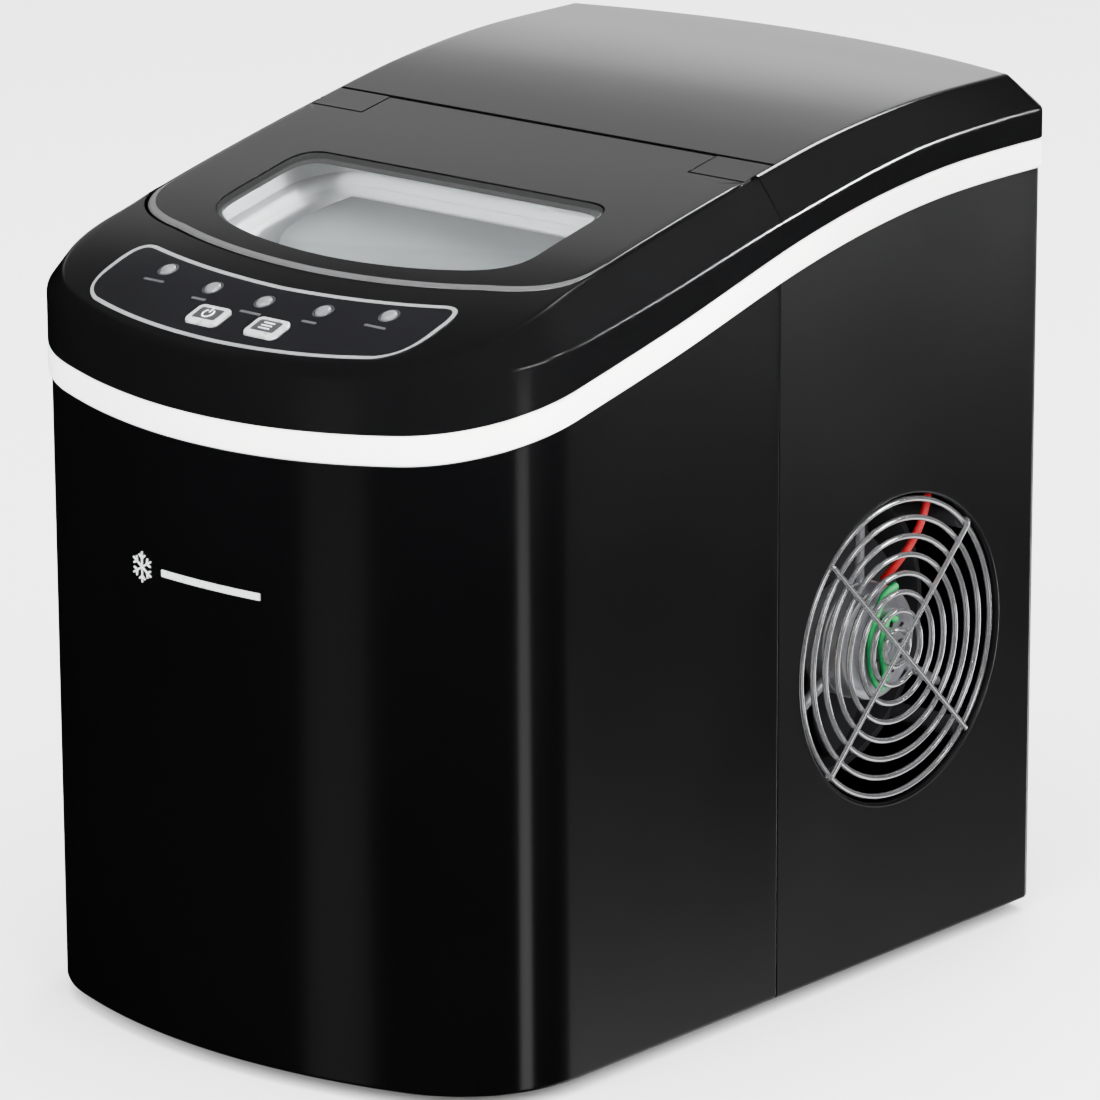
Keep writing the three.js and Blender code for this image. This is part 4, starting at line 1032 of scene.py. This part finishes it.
blades = []
for base in turns(5):
    rows = []
    for t in shares(12):
        row = []
        for c in [mix(-1, 1, s) for s in shares(12)]:
            x = 73.5 - 8.2 * c * mix(1, 0.8, t) + 1.4 * (1 - c * c)
            row.append(around_fan(x, mix(13.5, 51, t), base + 0.18 * t ** 2 + mix(0.62, 0.40, t) * c))
        rows.append(row)
    blades.append(grid(rows))
rotor = new_object("fan_blades", *joined(*blades))
thicken(rotor, 1.6, 0)
bake_modifiers(rotor)
finish(rotor, "dark_moulding", DARK, "fan_rotor", body="fan", angle=40)
HUB = [
    (2.2, 66), (12, 66), (14.4, 67), (15, 69), (15, 81), (14.4, 82), (4, 82), (2.6, 81), (2.2, 80)
]
add("fan_hub", turned(HUB, FAN_CENTRE, "X", 48), "dark_moulding", DARK, body="fan", angle=35)


def lead(name, points, radius, slot, surface):
    add(name + "_sleeve", wire(smooth_path(points, 8), radius, 16), slot, surface, name, angle=60)


RED_ROUTE = [
    (98, 88, 144), (104, 90, 152), (109, 94, 163), (109, 100, 175), (104, 106, 187), (90, 106, 202),
    (60, 104, 226), (6, 112, 238), (-30, 118, 230), (-50, 126, 210.5)
]
GREEN_ROUTE = [(113.3, y, z) for y, z in (
    (76, 147), (69, 144), (63.5, 136), (61.5, 126), (63, 116), (67.5, 109), (70.5, 114), (68.8, 122),
    (68.5, 130), (72, 136), (76, 134))]
lead("red_lead", RED_ROUTE, 1.5, "red_sleeve", RED)
lead("green_lead", GREEN_ROUTE, 1.6, "green_sleeve", GREEN)


# ---- tub, collar and basket ----

def rim_height(y):
    return PALE_TOP + 0.24 * (y + 12)


def tub_loop(grow):
    return round_rect(-97, 97, -122, -3, 24, 14, 6, grow)


def below_rim(depth):
    return lambda y: rim_height(y) - depth


TUB_SECTION = [
    (-60, 56), (-4, 56), (-1.2, 57.2), (0, 60), (0, below_rim(3.4)), (0.4, below_rim(3)),
    (4.6, below_rim(3)), (5, below_rim(2.6)), (5, below_rim(0.8)), (4.2, below_rim(0.1)),
    (3.2, below_rim(0)), (-3.4, below_rim(0)), (-4.6, below_rim(0.3)), (-5.3, below_rim(1.1)),
    (-5.5, below_rim(2.2)), (-5.5, below_rim(4.2)), (-5, below_rim(4.9)), (-4, below_rim(5)),
    (-2.9, below_rim(5.2)), (-2.5, below_rim(6)), (-2.5, 66), (-4, 61), (-9, 58.5), (-60, 58.5)
]


def flat_loop(loop, grow):
    """Draws a shrunk loop in to a flat line inside it, for a floor that needs no sharp point."""
    return [(x * 0.05, mix(y, -62.5, 0.9)) for x, y in loop] if grow <= -60 else loop


tub_rows = [(flat_loop(tub_loop(max(grow, -20)), grow), height) for grow, height in TUB_SECTION]
tub = new_object("tub_shell", *moulding(tub_rows, closed=False))
for side in (-1, 1):
    # The ledges take the darker copy of the pale moulding: painted shade inside the tub.
    x0, x1 = sorted((side * 82, side * 95.5))
    shelf = new_object("basket_ledge", *block(x0, x1, -90, -72, 112, 117.7))
    soften(shelf, 1, 3)
    finish(shelf, "pale_moulding", PALE_PAINTED_SHADE)
bore(tub, tool_rod("Z", (0, DRAIN_Y, 0), 40, 70, 4, 32))
finish(tub, "pale_moulding", PALE, "tub", angle=40)


def collar_loop(grow):
    return round_rect(-98, 98, -117, -6, 26, 16, 16, grow)


COLLAR_SECTION = [
    (2.2, below_rim(-0.3)), (2.2, under_crown(4.8)), (1.8, under_crown(4.4)), (0.4, under_crown(4.4)),
    (0, under_crown(4.8)), (0, below_rim(-0.3))
]
# The collar wall takes the darker copy of the pale moulding: painted shade inside the tub.
add("tub_collar_wall", moulding([(collar_loop(grow), height) for grow, height in COLLAR_SECTION]),
    "pale_moulding", PALE_PAINTED_SHADE, "tub_collar", angle=40)


def basket_loop(grow):
    return round_rect(-86, 86, -112, -66, 16, 10, 2, grow)


BASKET_SECTION = [
    (-15, 118), (-3, 118), (-0.8, 118.8), (0, 121), (0, 246.6), (0.4, 247), (1.3, 247), (1.6, 247.4),
    (1.6, 249.4), (1, 250), (-1.2, 250), (-1.8, 249.4), (-2, 248.6), (-2, 123), (-3, 120.6), (-5, 120),
    (-15, 120)
]
shell = [(basket_loop(grow), height) for grow, height in BASKET_SECTION]
middle = [(x * 0.9, -89) for x, _ in basket_loop(-15)]
basket = new_object("basket_shell", *moulding([(middle, 118)] + shell + [(middle, 120)], closed=False))
for i in range(-3, 4):
    bore(basket, tool_block(i * 20 - 2.5, i * 20 + 2.5, -102, -76, 110, 126))
for i in range(-6, 7):
    bore(basket, tool_block(i * 11 - 1.5, i * 11 + 1.5, -120, -105, 150, 222))
finish(basket, "pale_moulding", PALE, "ice_basket", body="basket", angle=35)
GRIP = [
    (-20, -110.6, 240), (-21.5, -106, 240), (-19, -104, 240), (0, -104, 240), (19, -104, 240),
    (21.5, -106, 240), (20, -110.6, 240)
]
add("basket_grip", wire(smooth_path(GRIP, 6), 2.6, 16), "pale_moulding", PALE, body="basket", angle=60)

HOOD = [(-62, 262), (-60, 268), (-52, 274.5), (-40, 278.5), (-26, 281), (-11, 282.5)]
hood_line = smooth_path([(0, y, z) for y, z in HOOD], 5)
hood_rows = []
for point in hood_line:
    reach = 80 if point.y > -44 else 80 - 18 * (1 - sqrt(max(1 - ((-44 - point.y) / 18) ** 2, 0)))
    hood_rows.append([(mix(-reach, reach, t), point.y, point.z) for t in shares(24)])
hood = plate("evaporator_hood", grid(hood_rows), (0, -30, 240), 2)
round_off(hood, 0.5)
# The hood takes the much darker copy of the pale moulding: painted shade under the lid.
finish(hood, "pale_moulding", PALE_DEEP_PAINTED_SHADE, "evaporator_cover", angle=35)


# ---- feet, fasteners and other small outside pieces ----

FEET = {
    "foot_front_right": (84, -118), "foot_front_left": (-84, -118),
    "foot_rear_right": (92, 140), "foot_rear_left": (-92, 140),
}
FOOT = [
    (0, 0.6), (8, 0.6), (8.6, 0), (12.4, 0), (13.4, 0.5), (14, 1.7), (14, 3.6), (13.2, 4), (13.2, 4.7),
    (0, 4.7)
]
for name, (x, y) in FEET.items():
    add(name + "_pad", turned(FOOT, (x, y, 0), "Z", 48), "black_rubber", RUBBER, name, angle=35)

SCREW = [(0, -6), (1.6, -6), (1.6, 0.2), (3.6, 0.3), (3.6, 0.7), (3.1, 1.1), (2, 1.28), (0, 1.3)]
for number, (x, z) in enumerate([(x, z) for z in (13, 262) for x in (-96, 96)], 1):
    lean = asin(x / REAR_RADIUS)
    screw = new_object("rear_screw_head_%d" % number, *turned(SCREW, (0, 0, 0), "Y", 32))
    for turn in (45, 135):
        slot = tool_block(-2.1, 2.1, 0.5, 3, -0.45, 0.45)
        slot.data.transform(Matrix.Rotation(radians(turn), 4, "Y"))
        bore(screw, slot)
    spot = Vector((REAR_RADIUS * sin(lean), REAR_CENTRE + REAR_RADIUS * cos(lean), z)) * MM
    screw.data.transform(Matrix.Translation(spot) @ Matrix.Rotation(-lean, 4, "Z"))
    finish(screw, "zinc_steel", ZINC, "rear_screw_%d" % number, angle=35)

GLAND_Y = REAR_CENTRE + sqrt(REAR_RADIUS ** 2 - GLAND_X ** 2)
GLAND = [
    (0, -6.9), (8.6, -6.9), (9, -6.5), (9, -3.9), (6, -3.9), (6, 0.4), (7.4, 0.4), (7.6, 0.9), (7.4, 1.6),
    (5.7, 2), (5.7, 2.5), (6, 2.9), (5.6, 3.3), (5.6, 3.8), (5.8, 4.2), (5.2, 5), (3.6, 5.1), (3.3, 4.6),
    (3.3, -2), (0, -2)
]
add("cable_bush", turned(GLAND, (GLAND_X, GLAND_Y, GLAND_Z), "Y", 48),
    "black_rubber", RUBBER, "cable_gland", angle=35)

CAP = [
    (0, 1.4, 0), (9.6, 1.4, 0), (11, 1.6, 0.25), (12, 2.2, 0.25), (12, 4.2, 0.25), (11.2, 4.7, 0.25),
    (3.6, 4.7, 0), (3.6, 12.8, 0), (3, 13.8, 0), (0, 13.8, 0)
]
cap_rows = []
for radius, z, knurl in CAP:
    reaches = [(a, radius + knurl * cos(24 * a)) for a in turns(192)]
    cap_rows.append([(reach * cos(a), DRAIN_Y + reach * sin(a), z) for a, reach in reaches])
drain_cap = new_object("drain_plug_cap", *grid(cap_rows, closed_columns=True))
bore(drain_cap, tool_block(-8, 8, DRAIN_Y - 1, DRAIN_Y + 1, 0, 2.4))
finish(drain_cap, "black_rubber", RUBBER, "drain_cap", body="drain_plug", angle=50)


# ---- plain badge on the front panel ----

def on_front(x, proud):
    """The point of the bowed front panel at a distance from its middle, this far proud of it."""
    radius = FRONT_RADIUS + proud
    turn = asin(x / radius)
    return radius * sin(turn), FRONT_CENTRE - radius * cos(turn)


def front_bar(x0, x1, z0, z1, depth):
    """A slim raised bar that follows the bowed panel."""
    rows = []
    for x in [mix(x0, x1, t) for t in shares(16)]:
        low, high = on_front(x, -0.2), on_front(x, depth)
        edge = on_front(x, depth * 0.5)
        rows.append([(*low, z0), (*edge, z0), (*high, z0 + 0.3), (*high, z1 - 0.3), (*edge, z1), (*low, z1)])
    rows.insert(0, [rows[0][0]] * 6)
    rows.append([rows[-1][0]] * 6)
    return grid(rows, closed_columns=True)


FLAKE_X, FLAKE_Z = -33, 181.5
flake = []
for arm in range(6):
    angle = radians(90 + 60 * arm)
    for reach0, reach1, turn in ((0, 5.6, 0), (3.2, 2, 0.9), (3.2, 2, -0.9)):
        u0, v0 = reach0 * cos(angle), reach0 * sin(angle)
        u1, v1 = u0 + reach1 * cos(angle + turn), v0 + reach1 * sin(angle + turn)
        ends = [(*on_front(FLAKE_X + u, 0.15), FLAKE_Z + v) for u, v in ((u0, v0), (u1, v1))]
        flake.append(wire(ends, 0.38, 8))
add("front_badge", joined(front_bar(-22, 26, 180.2, 182.8, 0.45), *flake),
    "silver_button", SILVER, angle=40)


# ---- CAD pieces shown as they are, with rounded edges ----

SHOWN = [
    (DARK, "base_tray tray_motor water_pump ice_full_sensor drain_fitting compressor fan_shroud"),
    (ZINC, "compressor_bracket hot_gas_valve hinge_pin_left hinge_pin_right"),
    (PALE, "water_tray ice_shovel"), (FOAM, "insulation"), (ALUMINIUM, "evaporator condenser"),
    (HOSE, "pump_hose"), (COPPER, "discharge_line suction_line filter_drier capillary_tube"),
    (BOARD, "control_board power_board"),
]
for surface, names in SHOWN:
    for piece in [NODES[name] for name in names.split()]:
        piece.data.materials.clear()
        piece.data.materials.append(surface)
        for face in piece.data.polygons:
            face.use_smooth = True
        piece.modifiers.new("weld", "WELD").merge_threshold = 0.01 * MM
        soften(piece, 0.25, 2, 40)
        weigh_normals(piece)


# ---- floor, light and camera ----

floor = new_object("floor", *block(-9000, 9000, -9000, 9000, -40, 0))
floor.data.materials.append(material("floor_pale", (0.97, 0.97, 0.97), 0.7, 0.006, 2, specular=0.15))
floor.visible_glossy = False

world = bpy.data.worlds.new("studio")
bpy.context.scene.world = world
world.use_nodes = True
tree = world.node_tree
sky = fill(tree, tree.nodes["Background"], {"Color": (1, 1, 1, 1), "Strength": 1.6})
dim = add_node(tree, "Background", {"Color": (0.004, 0.004, 0.0045, 1)})
choice = add_node(tree, "MixShader", {0: add_node(tree, "LightPath").outputs["Is Glossy Ray"],
                                      1: sky.outputs["Background"], 2: dim.outputs["Background"]})
fill(tree, tree.nodes["World Output"], {"Surface": choice.outputs["Shader"]})

TARGET = Vector((0, -0.010, 0.165))


def softbox(name, azimuth, elevation, distance, wide, high, power, glossy=True, aim=TARGET, spread=180):
    """An area light around the machine: azimuth 0 is in front of it, counted towards its right side."""
    turn, lift = radians(azimuth), radians(elevation)
    spot = aim + Vector((sin(turn) * cos(lift), -cos(turn) * cos(lift), sin(lift))) * distance
    data = bpy.data.lights.new(name, "AREA")
    data.shape = "RECTANGLE"
    data.size = wide
    data.size_y = high
    data.energy = power
    data.spread = radians(spread)
    lamp = bpy.data.objects.new(name, data)
    bpy.context.collection.objects.link(lamp)
    lamp.location = spot
    lamp.rotation_euler = (aim - spot).to_track_quat("-Z", "Y").to_euler()
    lamp.visible_camera = False
    lamp.visible_glossy = glossy


softbox("cover_glow", 214, 14, 2.6, 2.6, 0.9, 14)
softbox("lid_glow", 224, 31, 2.6, 2.4, 0.6, 3.6)
softbox("bevel_glow", 141, 44, 2.6, 1.4, 0.8, 0.7)
softbox("rim_line", 196, 54, 2.6, 1, 0.5, 60)
softbox("crease_line", 132, 14, 1, 0.2, 0.09, 0.3, aim=Vector((0.119, 0.14, 0.31)), spread=17)
softbox("back_glow", 45, 32, 2.8, 1.6, 0.8, 0.8)
softbox("ring_glint", 110, 27, 2.4, 0.3, 0.3, 4)
softbox("wire_glint", 165, -18, 2.4, 0.4, 0.4, 7)
softbox("corner_strip", 87, -21, 2.3, 0.34, 0.7, 1.7)
softbox("sector_glint", 90, 13, 2.2, 0.8, 0.5, 7)
softbox("front_strip", 345.5, -21, 2.45, 0.5, 0.75, 0.42)
softbox("side_wall", 146, -42, 2.5, 1.6, 1.6, 12)
softbox("front_fill", 10, 30, 3, 2, 2, 145, glossy=False)
softbox("side_fill", 80, 35, 3, 2, 2, 112, glossy=False)
softbox("top_fill", 40, 80, 2.6, 2.4, 2.4, 165, glossy=False)
WINDOW, WINDOW_LEFT = Vector((0, -0.006, 0.298)), Vector((-0.096, -0.06, 0.292))
softbox("window_low", 10, 9, 1.2, 0.3, 0.2, 0.5, glossy=False, aim=WINDOW, spread=15)
softbox("window_side", 80, 12, 1.2, 0.2, 0.2, 0.9, glossy=False, aim=WINDOW_LEFT, spread=12)

AZIMUTH, ELEVATION, ROLL = radians(41.314), radians(15.837), radians(-0.25)
CAMERA_DISTANCE = 2.458
right = Vector((cos(AZIMUTH), sin(AZIMUTH), 0))
up = Vector((-sin(AZIMUTH) * sin(ELEVATION), cos(AZIMUTH) * sin(ELEVATION), cos(ELEVATION)))
back = right.cross(up)
aim = TARGET + (right * 13.2 - up * 6.3) * MM
facing = Matrix((right * cos(ROLL) + up * sin(ROLL), up * cos(ROLL) - right * sin(ROLL), back)).transposed()
camera_data = bpy.data.cameras.new("camera")
camera_data.lens = 215.5
camera_data.sensor_width = 36
camera_data.clip_start = 0.05
camera = bpy.data.objects.new("camera", camera_data)
bpy.context.collection.objects.link(camera)
camera.matrix_world = Matrix.Translation(aim + back * CAMERA_DISTANCE) @ facing.to_4x4()
bpy.context.scene.camera = camera
